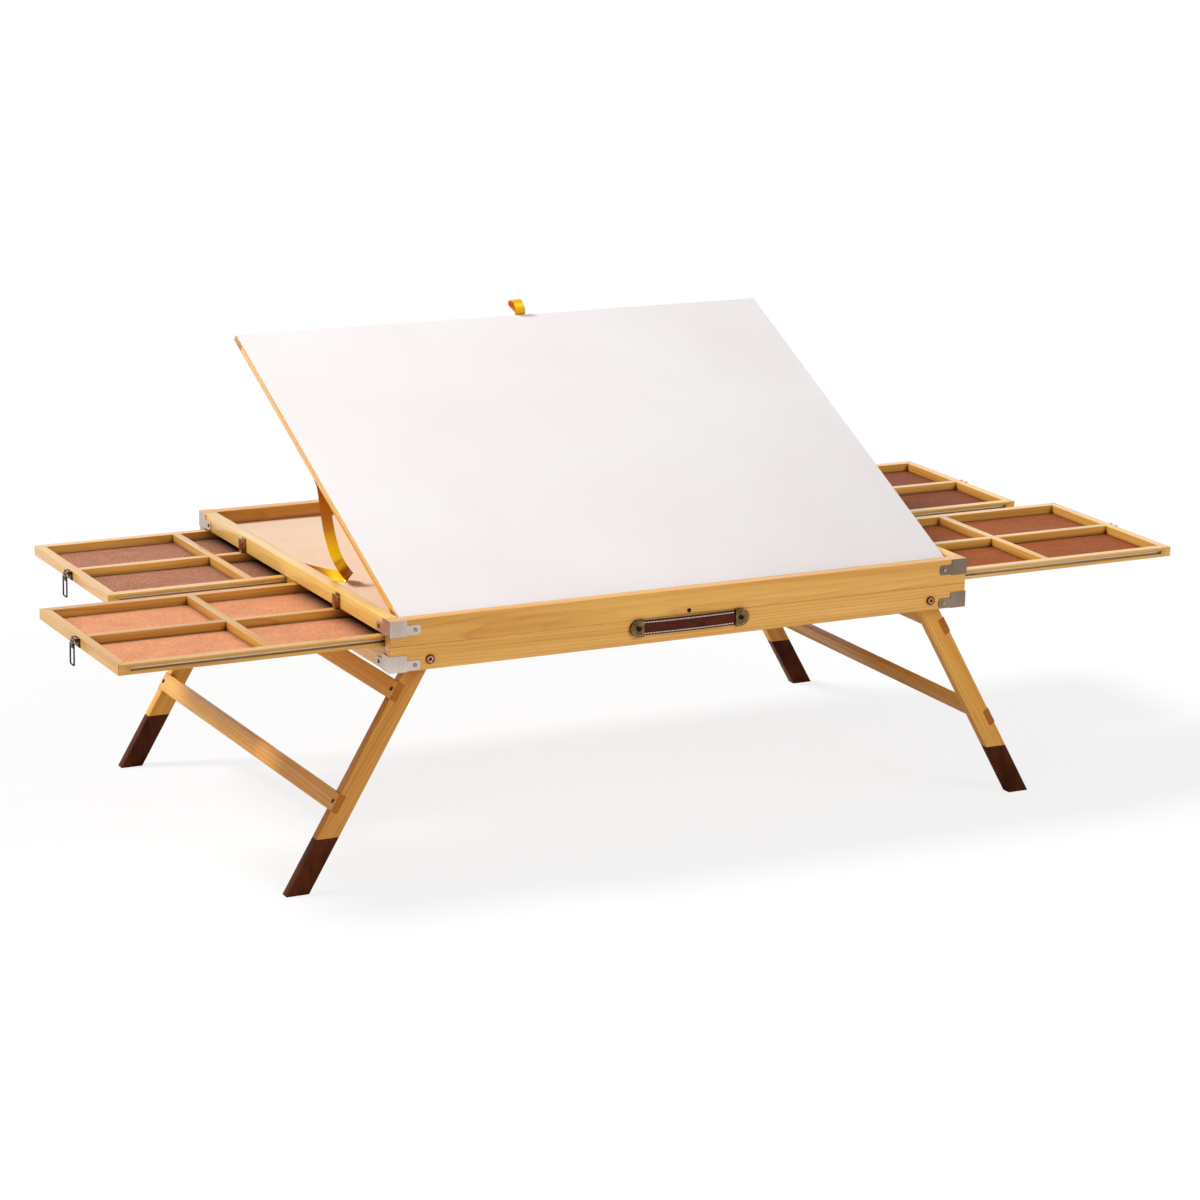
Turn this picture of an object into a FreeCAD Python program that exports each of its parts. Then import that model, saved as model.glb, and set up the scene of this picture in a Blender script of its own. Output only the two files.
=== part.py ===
import FreeCAD, Part
import math
import os
from FreeCAD import Vector

# Folding puzzle table: a shallow pine box on two folding leg pairs, with four
# drawers that pull out sideways and a tilting white board in the top.
# Lengths are in mm and angles in degrees. X runs along the front, Y runs to the
# back, Z is up, and the origin is on the floor under the middle of the frame.

# Frame box
FRAME_W = 870.0
FRAME_D = 660.0
TABLE_H = 358.5
APRON_H = 69.0
APRON_T = 18.0
RAIL_T = 18.0
UPPER_RAIL_H = 22.0
FLOOR_T = 3.0
FLOOR_LET_IN = 5.0
BEAM_W = 28.0
PARTITION_T = 24.0
BEAM_SETBACK = 1.0

# Drawers
DRAWER_H = 14.0
DRAWER_WALL = 13.0
DRAWER_SIDE_GAP = 1.5
DRAWER_TOP_GAP = 0.8
DRAWER_LOW_GAP = 1.0
DRAWER_END_GAP = 11.0
DIVIDER_T = 12.0
BOTTOM_T = 2.4
BOTTOM_LET_IN = 6.0
GROOVE_H = 4.6
GROOVE_DEPTH = 5.0
GROOVE_START = 16.0
STRIP_T = 1.0
RUNNER_PLAY = 0.3
RUNNER_BITE = 3.4
DRAWER_PULL_SHARES = {
    "front_left": 0.874,
    "rear_left": 0.617,
    "front_right": 0.874,
    "rear_right": 0.752,
}

# Legs
LEG_W = 27.5
LEG_T = 15.0
LEG_SPLAY = 30.0
LEG_INSET = 55.7
LEG_TUCK = 0.15
LEG_SIDE_GAP = 1.0
STRETCHER_W = 25.0
STRETCHER_T = 10.0
STRETCHER_PROUD = 1.2
STRETCHER_START_SHARES = (0.129, 0.594)
STOP_GAP = 0.1
STOP_MARGIN = 1.2
STOP_TOP_SHARE = 0.6

# Leg bolts
BOLT_R = 4.0
BOLT_PLAY = 0.05
BOLT_HEAD_R = 5.9
BOLT_HEAD_T = 2.6
BOLT_RIM = 1.3
BOLT_RIM_DEPTH = 0.7
SOCKET_R = 2.6
SOCKET_DEPTH = 1.6
WASHER_R = 8.0
WASHER_T = 0.9
NUT_R = 6.5
NUT_T = 5.0
NUT_GAP = 0.3

# Corner brackets and wood screws
BRACKET_T = 1.2
BRACKET_BODY = 23.0
BRACKET_ARM = 42.0
BRACKET_TAB_H = 13.2
BRACKET_TAB_UP = 1.4
BRACKET_TAB_R = 4.0
BRACKET_SCREW_IN = 7.0
SCREW_R = 1.3
SCREW_LENGTH = 12.0
SCREW_HEAD_R = 2.7
SCREW_HEAD_T = 1.1
SCREW_SLOT_W = 0.7
SCREW_SLOT_DEPTH = 0.5

# Leather handle
STRAP_W = 20.4
STRAP_T = 3.4
STRAP_SPAN = 139.0
STRAP_RISE = 2.0
STRAP_TUCK = 13.0
CAP_T = 5.2
CAP_LENGTH = 20.0
CAP_W = 22.8
CAP_SCREW_SHARE = 0.5

# Drawer latches and their catches
LATCH_PLATE_W = 17.0
LATCH_PLATE_H = 12.4
LATCH_PLATE_T = 1.0
EAR_T = 1.2
EAR_REACH = 6.2
EAR_H = 5.4
EAR_SPACING = 12.4
PIN_R = 1.2
PIN_PLAY = 0.05
PIN_OUT = 3.6
LEVER_W = 10.4
LEVER_T = 1.2
LEVER_OUT = 8.4
LEVER_DROP = 11.0
BARREL_R = 2.3
KNUCKLE_R = 1.9
KNUCKLE_DROP = 5.5
WIRE_R = 0.9
WIRE_PLAY = 0.05
BAIL_LENGTH = 28.5
BAIL_HALF_W = 7.2
BAIL_GRIP = 2.2
CATCH_W = 13.0
CATCH_H = 20.0
CATCH_T = 1.2
CATCH_MARGIN = 0.2
HOOK_W = 9.6
HOOK_REACH = 5.4
HOOK_LIP_T = 1.8
HOOK_NOTCH_H = 3.8
HOOK_STEP = 0.6
PRONG_R = 1.2
PRONG_LENGTH = 9.0
PRONG_SHARES = (0.3, 0.7)

# Tilting board
BOARD_TILT = 26.1
BOARD_SIDE_GAP = 2.0
BOARD_END_GAP = 3.2
BOARD_T = 10.0
SHEET_T = 2.0
SHEET_BORDER = 2.0
BOARD_RAIL_W = 26.0
INFILL_T = 3.0
HINGE_IN = 5.0
PIVOT_PIN_R = 2.5
PIVOT_PIN_PLAY = 0.05
PIVOT_PIN_GRIP = 14.0
PIVOT_PIN_BITE = 12.0

# Prop that holds the board up
PROP_REACH_SHARE = 0.44
PROP_FOOT_UP = 5.0
PROP_ARM_W = 20.0
PROP_ARM_T = 8.0
PROP_HALF_SPAN = 100.0
PROP_BAR_W = 22.0
PROP_BAR_T = 6.0
PROP_BAR_SHARE = 0.45
PROP_ROD_R = 2.5
PROP_BLOCK_W = 16.0
PROP_BLOCK_L = 22.0
PROP_BLOCK_GAP = 1.0
PROP_BLOCK_SKIN = 1.1
GUIDE_T = 4.0
GUIDE_H = 9.4
GUIDE_GAP = 1.0
GUIDE_SLOT_PLAY = 0.6
GUIDE_END = 6.0
PROP_NUT_R = 4.4
PROP_NUT_T = 6.0
PROP_NUT_GAP = 0.3

# Satin ribbons
RIBBON_W = 15.0
RIBBON_T = 0.6
RIBBON_AIR = 0.5
STAY_BOARD_SHARE = 0.467
STAY_FLAP = 14.0
STAY_IN = 9.5
STAY_DRIFT = 36.0
STAY_BOW = 7.0
STAY_TURN = 7.0
STAY_FOLD_FORE = 15.0
STAY_RAIL_BACK = 58.0
STAY_LIFT = 8.6
LOOP_R = 9.5
LOOP_X = 25.0
LOOP_STAND = 1.6
LOOP_FLAP = 7.0

# Derived levels and planes
HALF_W = FRAME_W / 2
HALF_D = FRAME_D / 2
IN_X = HALF_W - RAIL_T
IN_Y = HALF_D - APRON_T
Z_TOP = TABLE_H
Z_LOW = TABLE_H - APRON_H
Z_SLOT = Z_TOP - UPPER_RAIL_H
Z_FLOOR = Z_SLOT + FLOOR_T
Z_DRAWER = Z_SLOT - DRAWER_TOP_GAP
Z_DRAWER_LOW = Z_DRAWER - DRAWER_H
Z_LEDGE = Z_DRAWER_LOW - DRAWER_LOW_GAP
DRAWER_L = HALF_W - PARTITION_T / 2 - DRAWER_END_GAP
DRAWER_Y0 = BEAM_W / 2 + DRAWER_SIDE_GAP
DRAWER_Y1 = IN_Y - DRAWER_SIDE_GAP
DRAWER_MID = (DRAWER_Y0 + DRAWER_Y1) / 2
RUNNER_Z = Z_DRAWER_LOW + DRAWER_H / 2

AX_X = Vector(1, 0, 0)
AX_Y = Vector(0, 1, 0)
AX_Z = Vector(0, 0, 1)
ORIGIN = Vector(0, 0, 0)


def box(x0, x1, y0, y1, z0, z1):
    """A block between two corners."""
    return Part.makeBox(x1 - x0, y1 - y0, z1 - z0, Vector(x0, y0, z0))


def rod(start, axis, length, radius):
    """A round bar."""
    return Part.makeCylinder(radius, length, start, axis)


def prism(points, depth):
    """A flat outline pushed along a vector."""
    outline = Part.makePolygon(points + [points[0]])
    return Part.Face(outline).extrude(depth)


def fuse(shapes):
    """Join touching shapes into one solid."""
    joined = shapes[0].multiFuse(shapes[1:])
    return joined.removeSplitter()


def mirror_x(shape):
    return shape.mirror(ORIGIN, AX_X)


def mirror_y(shape):
    return shape.mirror(ORIGIN, AX_Y)


def four_ways(shape):
    """A shape at the front left, copied to the other three corners."""
    pair = [shape, mirror_x(shape)]
    return pair + [mirror_y(s) for s in pair]


def group(shapes):
    return Part.makeCompound(shapes)


def wood_screw(seat, inward):
    """A pan head screw: its head stands on the seat, its shank runs inward."""
    shank = rod(seat, inward, SCREW_LENGTH, SCREW_R)
    head = rod(seat - inward * SCREW_HEAD_T, inward, SCREW_HEAD_T, SCREW_HEAD_R)
    crown = seat - inward * SCREW_HEAD_T
    across = AX_Z if abs(inward.y) > abs(inward.x) else AX_Y
    along = inward.cross(across)
    corner = crown - across * SCREW_HEAD_R - along * (SCREW_SLOT_W / 2)
    slot = prism(
        [
            corner,
            corner + across * (2 * SCREW_HEAD_R),
            corner + across * (2 * SCREW_HEAD_R) + along * SCREW_SLOT_W,
            corner + along * SCREW_SLOT_W,
        ],
        inward * SCREW_SLOT_DEPTH,
    )
    return fuse([shank, head]).cut(slot)


def screw_shank(seat, inward):
    """The hole that a wood screw needs."""
    return rod(seat, inward, SCREW_LENGTH, SCREW_R)


nodes = {}

# Corner brackets: stamped L plates, wide at the corner with a narrower screw tab.
tab_low = BRACKET_TAB_UP
tab_top = BRACKET_TAB_UP + BRACKET_TAB_H
tab_mid = (tab_low + tab_top) / 2
tab_round = BRACKET_ARM - BRACKET_TAB_R
bracket_screw = BRACKET_ARM - BRACKET_SCREW_IN


def bracket_arm():
    """One flat arm in the X Z plane, from its corner at the origin."""
    tab_in = (tab_low + BRACKET_TAB_R, tab_top - BRACKET_TAB_R)
    pieces = [
        box(0, BRACKET_BODY, 0, BRACKET_T, 0, UPPER_RAIL_H),
        box(BRACKET_BODY, tab_round, 0, BRACKET_T, tab_low, tab_top),
        box(BRACKET_BODY, BRACKET_ARM, 0, BRACKET_T, *tab_in),
    ]
    for z in tab_in:
        pieces.append(rod(Vector(tab_round, 0, z), AX_Y, BRACKET_T, BRACKET_TAB_R))
    return fuse(pieces)


def bracket(z):
    """A bracket on the front left corner with its lower edge at z."""
    corner = Vector(-HALF_W, -HALF_D - BRACKET_T, z)
    front = bracket_arm().translated(corner)
    side = bracket_arm().rotated(ORIGIN, AX_Z, 90)
    side = side.translated(Vector(-HALF_W, -HALF_D, z))
    post = box(
        -HALF_W - BRACKET_T, -HALF_W, -HALF_D - BRACKET_T, -HALF_D, z, z + UPPER_RAIL_H
    )
    return fuse([front, side, post])


bracket_levels = (Z_SLOT, Z_LOW)
bracket_seats = []
for level in bracket_levels:
    mid = level + tab_mid
    bracket_seats.append((Vector(-HALF_W + bracket_screw, -HALF_D, mid), AX_Y))
    bracket_seats.append((Vector(-HALF_W, -HALF_D + bracket_screw, mid), AX_X))
bracket_holes = []
bracket_screws = []
for seat, inward in bracket_seats:
    bracket_holes += four_ways(screw_shank(seat - inward * BRACKET_T, inward))
    bracket_screws += four_ways(wood_screw(seat - inward * BRACKET_T, inward))
bracket_cutter = group(bracket_holes)
brackets = []
for level in bracket_levels:
    brackets += four_ways(bracket(level))
nodes["corner_brackets"] = group([b.cut(bracket_cutter) for b in brackets])

# Aprons, side rails and the box floor.
pivot_x = -HALF_W + LEG_INSET
pivot_z = Z_LOW + LEG_W / 2 + LEG_TUCK
handle_z = Z_LOW + CAP_W
cap_flat_x = STRAP_SPAN / 2
cap_screw_x = cap_flat_x + CAP_LENGTH * CAP_SCREW_SHARE
partition_z = (Z_LEDGE + Z_SLOT) / 2

apron_bolt = rod(Vector(pivot_x, -HALF_D, pivot_z), AX_Y, APRON_T, BOLT_R)
partition_seat = Vector(0, -HALF_D + SCREW_HEAD_T, partition_z)
partition_screw = wood_screw(partition_seat, AX_Y)
partition_pocket = rod(
    Vector(0, -HALF_D, partition_z), AX_Y, SCREW_HEAD_T, SCREW_HEAD_R
)
partition_hole = fuse([partition_pocket, screw_shank(partition_seat, AX_Y)])
floor_panel = box(
    -IN_X - FLOOR_LET_IN,
    IN_X + FLOOR_LET_IN,
    -IN_Y - FLOOR_LET_IN,
    IN_Y + FLOOR_LET_IN,
    Z_SLOT,
    Z_FLOOR,
)
cap_seats = [Vector(s * cap_screw_x, -HALF_D - CAP_T, handle_z) for s in (-1, 1)]
cap_holes = [screw_shank(seat, AX_Y) for seat in cap_seats]

apron = box(-HALF_W, HALF_W, -HALF_D, -IN_Y, Z_LOW, Z_TOP)
apron = apron.cut(group([apron_bolt, mirror_x(apron_bolt), partition_hole]))
apron = apron.cut(bracket_cutter).cut(floor_panel)
nodes["front_apron"] = apron.cut(group(cap_holes))
nodes["rear_apron"] = mirror_y(apron)

hinge_y = -IN_Y + BOARD_END_GAP + HINGE_IN
hinge_z = Z_TOP - (BOARD_T + SHEET_T) / 2
hinge = Vector(0, hinge_y, hinge_z)
pin_start = Vector(-IN_X - PIVOT_PIN_BITE, hinge_y, hinge_z)
pivot_pin = rod(pin_start, AX_X, PIVOT_PIN_BITE + PIVOT_PIN_GRIP, PIVOT_PIN_R)

# The catches are pressed into the upper rails above each drawer. Each is a plate
# with two prongs behind it and a boss in front that is notched to hold the bail.
catch_low = Z_SLOT + CATCH_MARGIN
catch_top = catch_low + CATCH_H
catch_x = -HALF_W - CATCH_T
boss_top = catch_top - HOOK_STEP
catch_plate = box(
    catch_x,
    -HALF_W,
    -DRAWER_MID - CATCH_W / 2,
    -DRAWER_MID + CATCH_W / 2,
    catch_low,
    catch_top,
)
hook_boss = box(
    catch_x - HOOK_REACH,
    catch_x,
    -DRAWER_MID - HOOK_W / 2,
    -DRAWER_MID + HOOK_W / 2,
    catch_low + HOOK_STEP,
    boss_top - HOOK_LIP_T / 2,
)
hook_roll = rod(
    Vector(
        catch_x - HOOK_REACH + HOOK_LIP_T / 2,
        -DRAWER_MID - HOOK_W / 2,
        boss_top - HOOK_LIP_T / 2,
    ),
    AX_Y,
    HOOK_W,
    HOOK_LIP_T / 2,
)
hook_notch = box(
    catch_x - HOOK_REACH + HOOK_LIP_T,
    catch_x,
    -DRAWER_MID - HOOK_W / 2,
    -DRAWER_MID + HOOK_W / 2,
    boss_top - HOOK_NOTCH_H,
    boss_top,
)
prongs = []
for share in PRONG_SHARES:
    root = Vector(-HALF_W, -DRAWER_MID, catch_low + CATCH_H * share)
    prongs.append(rod(root, AX_X, PRONG_LENGTH, PRONG_R))
catch = fuse([catch_plate, hook_boss.cut(hook_notch), hook_roll] + prongs)
prong_holes = group(prongs + [mirror_y(prong) for prong in prongs])
nodes["latch_catches"] = group(four_ways(catch))

upper_rail = box(-HALF_W, -IN_X, -IN_Y, IN_Y, Z_SLOT, Z_TOP)
upper_rail = upper_rail.cut(bracket_cutter).cut(floor_panel)
upper_rail = upper_rail.cut(pivot_pin).cut(prong_holes)
nodes["left_upper_rail"] = upper_rail
nodes["right_upper_rail"] = mirror_x(upper_rail)
lower_rail = box(-HALF_W, -IN_X, -IN_Y, IN_Y, Z_LOW, Z_LEDGE).cut(bracket_cutter)
nodes["left_lower_rail"] = lower_rail
nodes["right_lower_rail"] = mirror_x(lower_rail)
nodes["board_pivot_pins"] = group([pivot_pin, mirror_x(pivot_pin)])

# A partition and two beams under the floor part the drawers from each other.
partition = box(-PARTITION_T / 2, PARTITION_T / 2, -IN_Y, IN_Y, Z_LEDGE, Z_SLOT)
partition = partition.cut(group([partition_hole, mirror_y(partition_hole)]))
beam = box(
    -HALF_W + BEAM_SETBACK, -PARTITION_T / 2, -BEAM_W / 2, BEAM_W / 2, Z_LEDGE, Z_SLOT
)
nodes["inner_beams"] = group([partition, beam, mirror_x(beam)])

partition_screws = [partition_screw, mirror_y(partition_screw)]
nodes["frame_screws"] = group(bracket_screws + partition_screws)

# Metal runner strips on the aprons and beams carry the drawers by their grooves.
runner_h = GROOVE_H - 2 * RUNNER_PLAY
runner_reach = DRAWER_SIDE_GAP + RUNNER_BITE
runner_x0 = -IN_X
runner_x1 = -PARTITION_T / 2 - DRAWER_END_GAP
runners = []
for y0 in (-IN_Y, -BEAM_W / 2 - runner_reach):
    strip = box(
        runner_x0,
        runner_x1,
        y0,
        y0 + runner_reach,
        RUNNER_Z - runner_h / 2,
        RUNNER_Z + runner_h / 2,
    )
    runners += four_ways(strip)
nodes["drawer_runners"] = group(runners)

# Leg bolts: a flanged socket head outside, a washer between, a nut inside.
leg_y0 = -IN_Y + LEG_SIDE_GAP
leg_y1 = leg_y0 + LEG_T
head_y = -HALF_D - BOLT_HEAD_T
bolt_axis = Vector(pivot_x, 0, pivot_z)
shank_end = leg_y1 + NUT_GAP + NUT_T
head = rod(bolt_axis + AX_Y * head_y, AX_Y, BOLT_HEAD_T, BOLT_HEAD_R)
dish = rod(bolt_axis + AX_Y * head_y, AX_Y, BOLT_RIM_DEPTH, BOLT_HEAD_R - BOLT_RIM)
socket_y = head_y + BOLT_RIM_DEPTH
socket_points = []
for step in range(6):
    turn = math.radians(60 * step)
    socket_points.append(
        bolt_axis
        + Vector(SOCKET_R * math.cos(turn), socket_y, SOCKET_R * math.sin(turn))
    )
socket = prism(socket_points, AX_Y * SOCKET_DEPTH)
shank = rod(bolt_axis - AX_Y * HALF_D, AX_Y, HALF_D + shank_end, BOLT_R)
washer = rod(bolt_axis - AX_Y * IN_Y, AX_Y, WASHER_T, WASHER_R)
nut_points = []
for step in range(6):
    turn = math.radians(60 * step)
    nut_points.append(
        bolt_axis
        + Vector(NUT_R * math.cos(turn), leg_y1 + NUT_GAP, NUT_R * math.sin(turn))
    )
nut = prism(nut_points, AX_Y * NUT_T)
bolt = fuse([head.cut(dish), shank, washer, nut]).cut(socket)
nodes["leg_bolts"] = group(four_ways(bolt))

# Legs: rounded at the pivot, cut level at the floor, notched for two stretchers.
splay = math.radians(LEG_SPLAY)
down = Vector(-math.sin(splay), 0, -math.cos(splay))
outward = Vector(-math.cos(splay), 0, math.sin(splay))
leg_length = pivot_z / math.cos(splay)
leg_mid = Vector(pivot_x, leg_y0, pivot_z)


def leg_point(along, across):
    """A point on the leg's front face, measured from its pivot."""
    return leg_mid + down * along + outward * across


def foot_at(across):
    """How far down the leg the floor is, at a place across its width."""
    return (pivot_z + across * math.sin(splay)) / math.cos(splay)


half_leg = LEG_W / 2
leg_blank = prism(
    [
        leg_point(0, half_leg),
        leg_point(foot_at(half_leg), half_leg),
        leg_point(foot_at(-half_leg), -half_leg),
        leg_point(0, -half_leg),
    ],
    AX_Y * LEG_T,
)
leg_end = rod(leg_mid, AX_Y, LEG_T, half_leg)
leg_hole = rod(leg_mid, AX_Y, LEG_T, BOLT_R + BOLT_PLAY)
bar_low = half_leg + STRETCHER_PROUD - STRETCHER_T
bar_high = half_leg + STRETCHER_PROUD
bars = []
bar_holes = []
bar_screws = []
for share in STRETCHER_START_SHARES:
    start = leg_length * share
    bar = prism(
        [
            leg_point(start, bar_low),
            leg_point(start + STRETCHER_W, bar_low),
            leg_point(start + STRETCHER_W, bar_high),
            leg_point(start, bar_high),
        ],
        AX_Y * (-2 * leg_y0),
    )
    seat = leg_point(start + STRETCHER_W / 2, bar_high) + AX_Y * (LEG_T / 2)
    hole = screw_shank(seat, outward * -1)
    bar_holes += [hole, mirror_y(hole)]
    screw = wood_screw(seat, outward * -1)
    bar_screws += [screw, mirror_y(screw)]
    bars.append(bar)
leg = fuse([leg_blank, leg_end]).cut(leg_hole)
leg = leg.cut(group(bars)).cut(group(bar_holes))
left_bars = group([bar.cut(group(bar_holes)) for bar in bars])
nodes["left_front_leg"] = leg
nodes["left_rear_leg"] = mirror_y(leg)
nodes["left_stretchers"] = left_bars
nodes["left_stretcher_screws"] = group(bar_screws)
nodes["right_front_leg"] = mirror_x(leg)
nodes["right_rear_leg"] = mirror_y(mirror_x(leg))
nodes["right_stretchers"] = mirror_x(left_bars)
nodes["right_stretcher_screws"] = mirror_x(group(bar_screws))

# Blocks behind the aprons that stop the legs at their splay.
stop_z0 = Z_LOW + STOP_MARGIN
stop_z1 = pivot_z + half_leg * math.sin(splay) * STOP_TOP_SHARE


def stop_x(z):
    """The X of the stop's sloping face, just clear of the leg's outer edge."""
    edge = half_leg / math.cos(splay) + (pivot_z - z) * math.tan(splay)
    return pivot_x - edge - STOP_GAP / math.cos(splay)


stop = prism(
    [
        Vector(-IN_X, -IN_Y, stop_z0),
        Vector(stop_x(stop_z0), -IN_Y, stop_z0),
        Vector(stop_x(stop_z1), -IN_Y, stop_z1),
        Vector(-IN_X, -IN_Y, stop_z1),
    ],
    AX_Y * LEG_T,
)
nodes["leg_stop_blocks"] = group(four_ways(stop))

# Leather handle: a bowed strap with its ends held in two D shaped caps.
tuck_x = cap_flat_x + STRAP_TUCK
bow_mid = Vector(0, -HALF_D - STRAP_RISE, 0)
bow_out = Vector(0, -HALF_D - STRAP_RISE - STRAP_T, 0)
low_ends = [Vector(s * cap_flat_x, -HALF_D, 0) for s in (-1, 1)]
high_ends = [Vector(s * cap_flat_x, -HALF_D - STRAP_T, 0) for s in (-1, 1)]
strap_edges = [
    Part.Arc(low_ends[0], bow_mid, low_ends[1]).toShape(),
    Part.makeLine(low_ends[1], high_ends[1]),
    Part.Arc(high_ends[1], bow_out, high_ends[0]).toShape(),
    Part.makeLine(high_ends[0], low_ends[0]),
]
strap_face = Part.Face(Part.Wire(strap_edges))
strap_bow = strap_face.extrude(AX_Z * STRAP_W)
strap_bow.translate(AX_Z * (handle_z - STRAP_W / 2))
strap_ends = []
for side in (-1, 1):
    x0 = min(side * cap_flat_x, side * tuck_x)
    x1 = max(side * cap_flat_x, side * tuck_x)
    strap_ends.append(
        box(
            x0,
            x1,
            -HALF_D - STRAP_T,
            -HALF_D,
            handle_z - STRAP_W / 2,
            handle_z + STRAP_W / 2,
        )
    )
strap_blank = fuse([strap_bow] + strap_ends)
nodes["handle_strap"] = strap_blank.cut(group(cap_holes))
cap_r = CAP_W / 2
cap_shoulder = CAP_LENGTH - cap_r
caps = []
for side in (-1, 1):
    edge = side * cap_flat_x
    mid = side * (cap_flat_x + cap_shoulder)
    flat = box(
        min(edge, mid),
        max(edge, mid),
        -HALF_D - CAP_T,
        -HALF_D,
        handle_z - cap_r,
        handle_z + cap_r,
    )
    nose = rod(Vector(mid, -HALF_D - CAP_T, handle_z), AX_Y, CAP_T, cap_r)
    inner = box(
        min(edge, -side * HALF_W),
        max(edge, -side * HALF_W),
        -HALF_D - CAP_T,
        -HALF_D,
        handle_z - cap_r,
        handle_z + cap_r,
    )
    cap = fuse([flat, nose]).cut(inner)
    caps.append(cap.cut(strap_blank).cut(group(cap_holes)))
nodes["handle_caps"] = group(caps)
nodes["handle_screws"] = group([wood_screw(seat, AX_Y) for seat in cap_seats])

# Drawers, drawn closed on the front left and then moved to where each belongs.
y0 = -DRAWER_Y1
y1 = -DRAWER_Y0
x0 = -HALF_W
x1 = -HALF_W + DRAWER_L
z0 = Z_DRAWER_LOW
z1 = Z_DRAWER
grooves = []
strips = []
for edge, inward in ((y0, 1), (y1, -1)):
    floor_y = edge + inward * GROOVE_DEPTH
    strip_y = floor_y - inward * STRIP_T
    span = (x0 + GROOVE_START, x1)
    level = (RUNNER_Z - GROOVE_H / 2, RUNNER_Z + GROOVE_H / 2)
    grooves.append(box(*span, min(edge, floor_y), max(edge, floor_y), *level))
    strips.append(box(*span, min(strip_y, floor_y), max(strip_y, floor_y), *level))
panel = box(
    x0 + DRAWER_WALL - BOTTOM_LET_IN,
    x1 - DRAWER_WALL + BOTTOM_LET_IN,
    y0 + DRAWER_WALL - BOTTOM_LET_IN,
    y1 - DRAWER_WALL + BOTTOM_LET_IN,
    z0,
    z0 + BOTTOM_T,
)
in_x0 = x0 + DRAWER_WALL
in_x1 = x1 - DRAWER_WALL
in_y0 = y0 + DRAWER_WALL
in_y1 = y1 - DRAWER_WALL
mid_x = (in_x0 + in_x1) / 2
mid_y = (in_y0 + in_y1) / 2
half_div = DIVIDER_T / 2
drawer_bars = [
    box(x0, in_x0, y0, y1, z0, z1),
    box(in_x1, x1, y0, y1, z0, z1),
    box(in_x0, in_x1, y0, in_y0, z0, z1),
    box(in_x0, in_x1, in_y1, y1, z0, z1),
    box(mid_x - half_div, mid_x + half_div, in_y0, in_y1, z0 + BOTTOM_T, z1),
    box(in_x0, mid_x - half_div, mid_y - half_div, mid_y + half_div, z0 + BOTTOM_T, z1),
    box(mid_x + half_div, in_x1, mid_y - half_div, mid_y + half_div, z0 + BOTTOM_T, z1),
]
drawer_cutter = group(grooves + [panel])
drawer_frame = group([bar.cut(drawer_cutter) for bar in drawer_bars])
drawer_slides = group(strips)

# Toggle latch on the drawer's outer end: plate with ears, lever and wire bail.
latch_z0 = z0 + (DRAWER_H - LATCH_PLATE_H) / 2
latch_z1 = latch_z0 + LATCH_PLATE_H
latch_y = -DRAWER_MID
pin_z = latch_z1 - EAR_H / 2
pin_x = x0 - PIN_OUT
plate = box(
    x0 - LATCH_PLATE_T,
    x0,
    latch_y - LATCH_PLATE_W / 2,
    latch_y + LATCH_PLATE_W / 2,
    latch_z0,
    latch_z1,
)
ears = []
for side in (-1, 1):
    ear_y = latch_y + side * EAR_SPACING / 2
    ears.append(
        box(
            x0 - EAR_REACH,
            x0 - LATCH_PLATE_T,
            min(ear_y, ear_y + side * EAR_T),
            max(ear_y, ear_y + side * EAR_T),
            latch_z1 - EAR_H,
            latch_z1,
        )
    )
pin_half = EAR_SPACING / 2 + EAR_T
latch_pin = rod(Vector(pin_x, latch_y - pin_half, pin_z), AX_Y, 2 * pin_half, PIN_R)
latch_base = fuse([plate, latch_pin] + ears)

lever_half = LEVER_W / 2
lever_x = x0 - LEVER_OUT
lever_low = pin_z - LEVER_DROP
knuckle_z = pin_z - KNUCKLE_DROP
knuckle_x = lever_x + LEVER_T / 2
barrel = rod(Vector(pin_x, latch_y - lever_half, pin_z), AX_Y, LEVER_W, BARREL_R)
knuckle = rod(
    Vector(knuckle_x, latch_y - lever_half, knuckle_z), AX_Y, LEVER_W, KNUCKLE_R
)
lever_plate = box(
    lever_x,
    lever_x + LEVER_T,
    latch_y - lever_half,
    latch_y + lever_half,
    lever_low,
    pin_z,
)
lever_bridge = box(
    lever_x,
    pin_x,
    latch_y - lever_half,
    latch_y + lever_half,
    pin_z - LEVER_T,
    pin_z,
)
pin_bore = rod(
    Vector(pin_x, latch_y - lever_half, pin_z), AX_Y, LEVER_W, PIN_R + PIN_PLAY
)
wire_bore = rod(
    Vector(knuckle_x, latch_y - lever_half, knuckle_z),
    AX_Y,
    LEVER_W,
    WIRE_R + WIRE_PLAY,
)
lever = fuse([barrel, knuckle, lever_plate, lever_bridge])
lever = lever.cut(group([pin_bore, wire_bore]))

bail_low = knuckle_z - BAIL_LENGTH + WIRE_R
bail_parts = []
for side in (-1, 1):
    leg_y = latch_y + side * BAIL_HALF_W
    tip_y = latch_y + side * (lever_half - BAIL_GRIP)
    top = Vector(knuckle_x, leg_y, knuckle_z)
    foot = Vector(knuckle_x, leg_y, bail_low)
    tip = Vector(knuckle_x, min(tip_y, leg_y), knuckle_z)
    bail_parts.append(rod(tip, AX_Y, abs(leg_y - tip_y), WIRE_R))
    bail_parts.append(rod(foot, AX_Z, knuckle_z - bail_low, WIRE_R))
    bail_parts.append(Part.makeSphere(WIRE_R, top))
    bail_parts.append(Part.makeSphere(WIRE_R, foot))
cross_start = Vector(knuckle_x, latch_y - BAIL_HALF_W, bail_low)
bail_parts.append(rod(cross_start, AX_Y, 2 * BAIL_HALF_W, WIRE_R))
bail = fuse(bail_parts)

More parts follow.
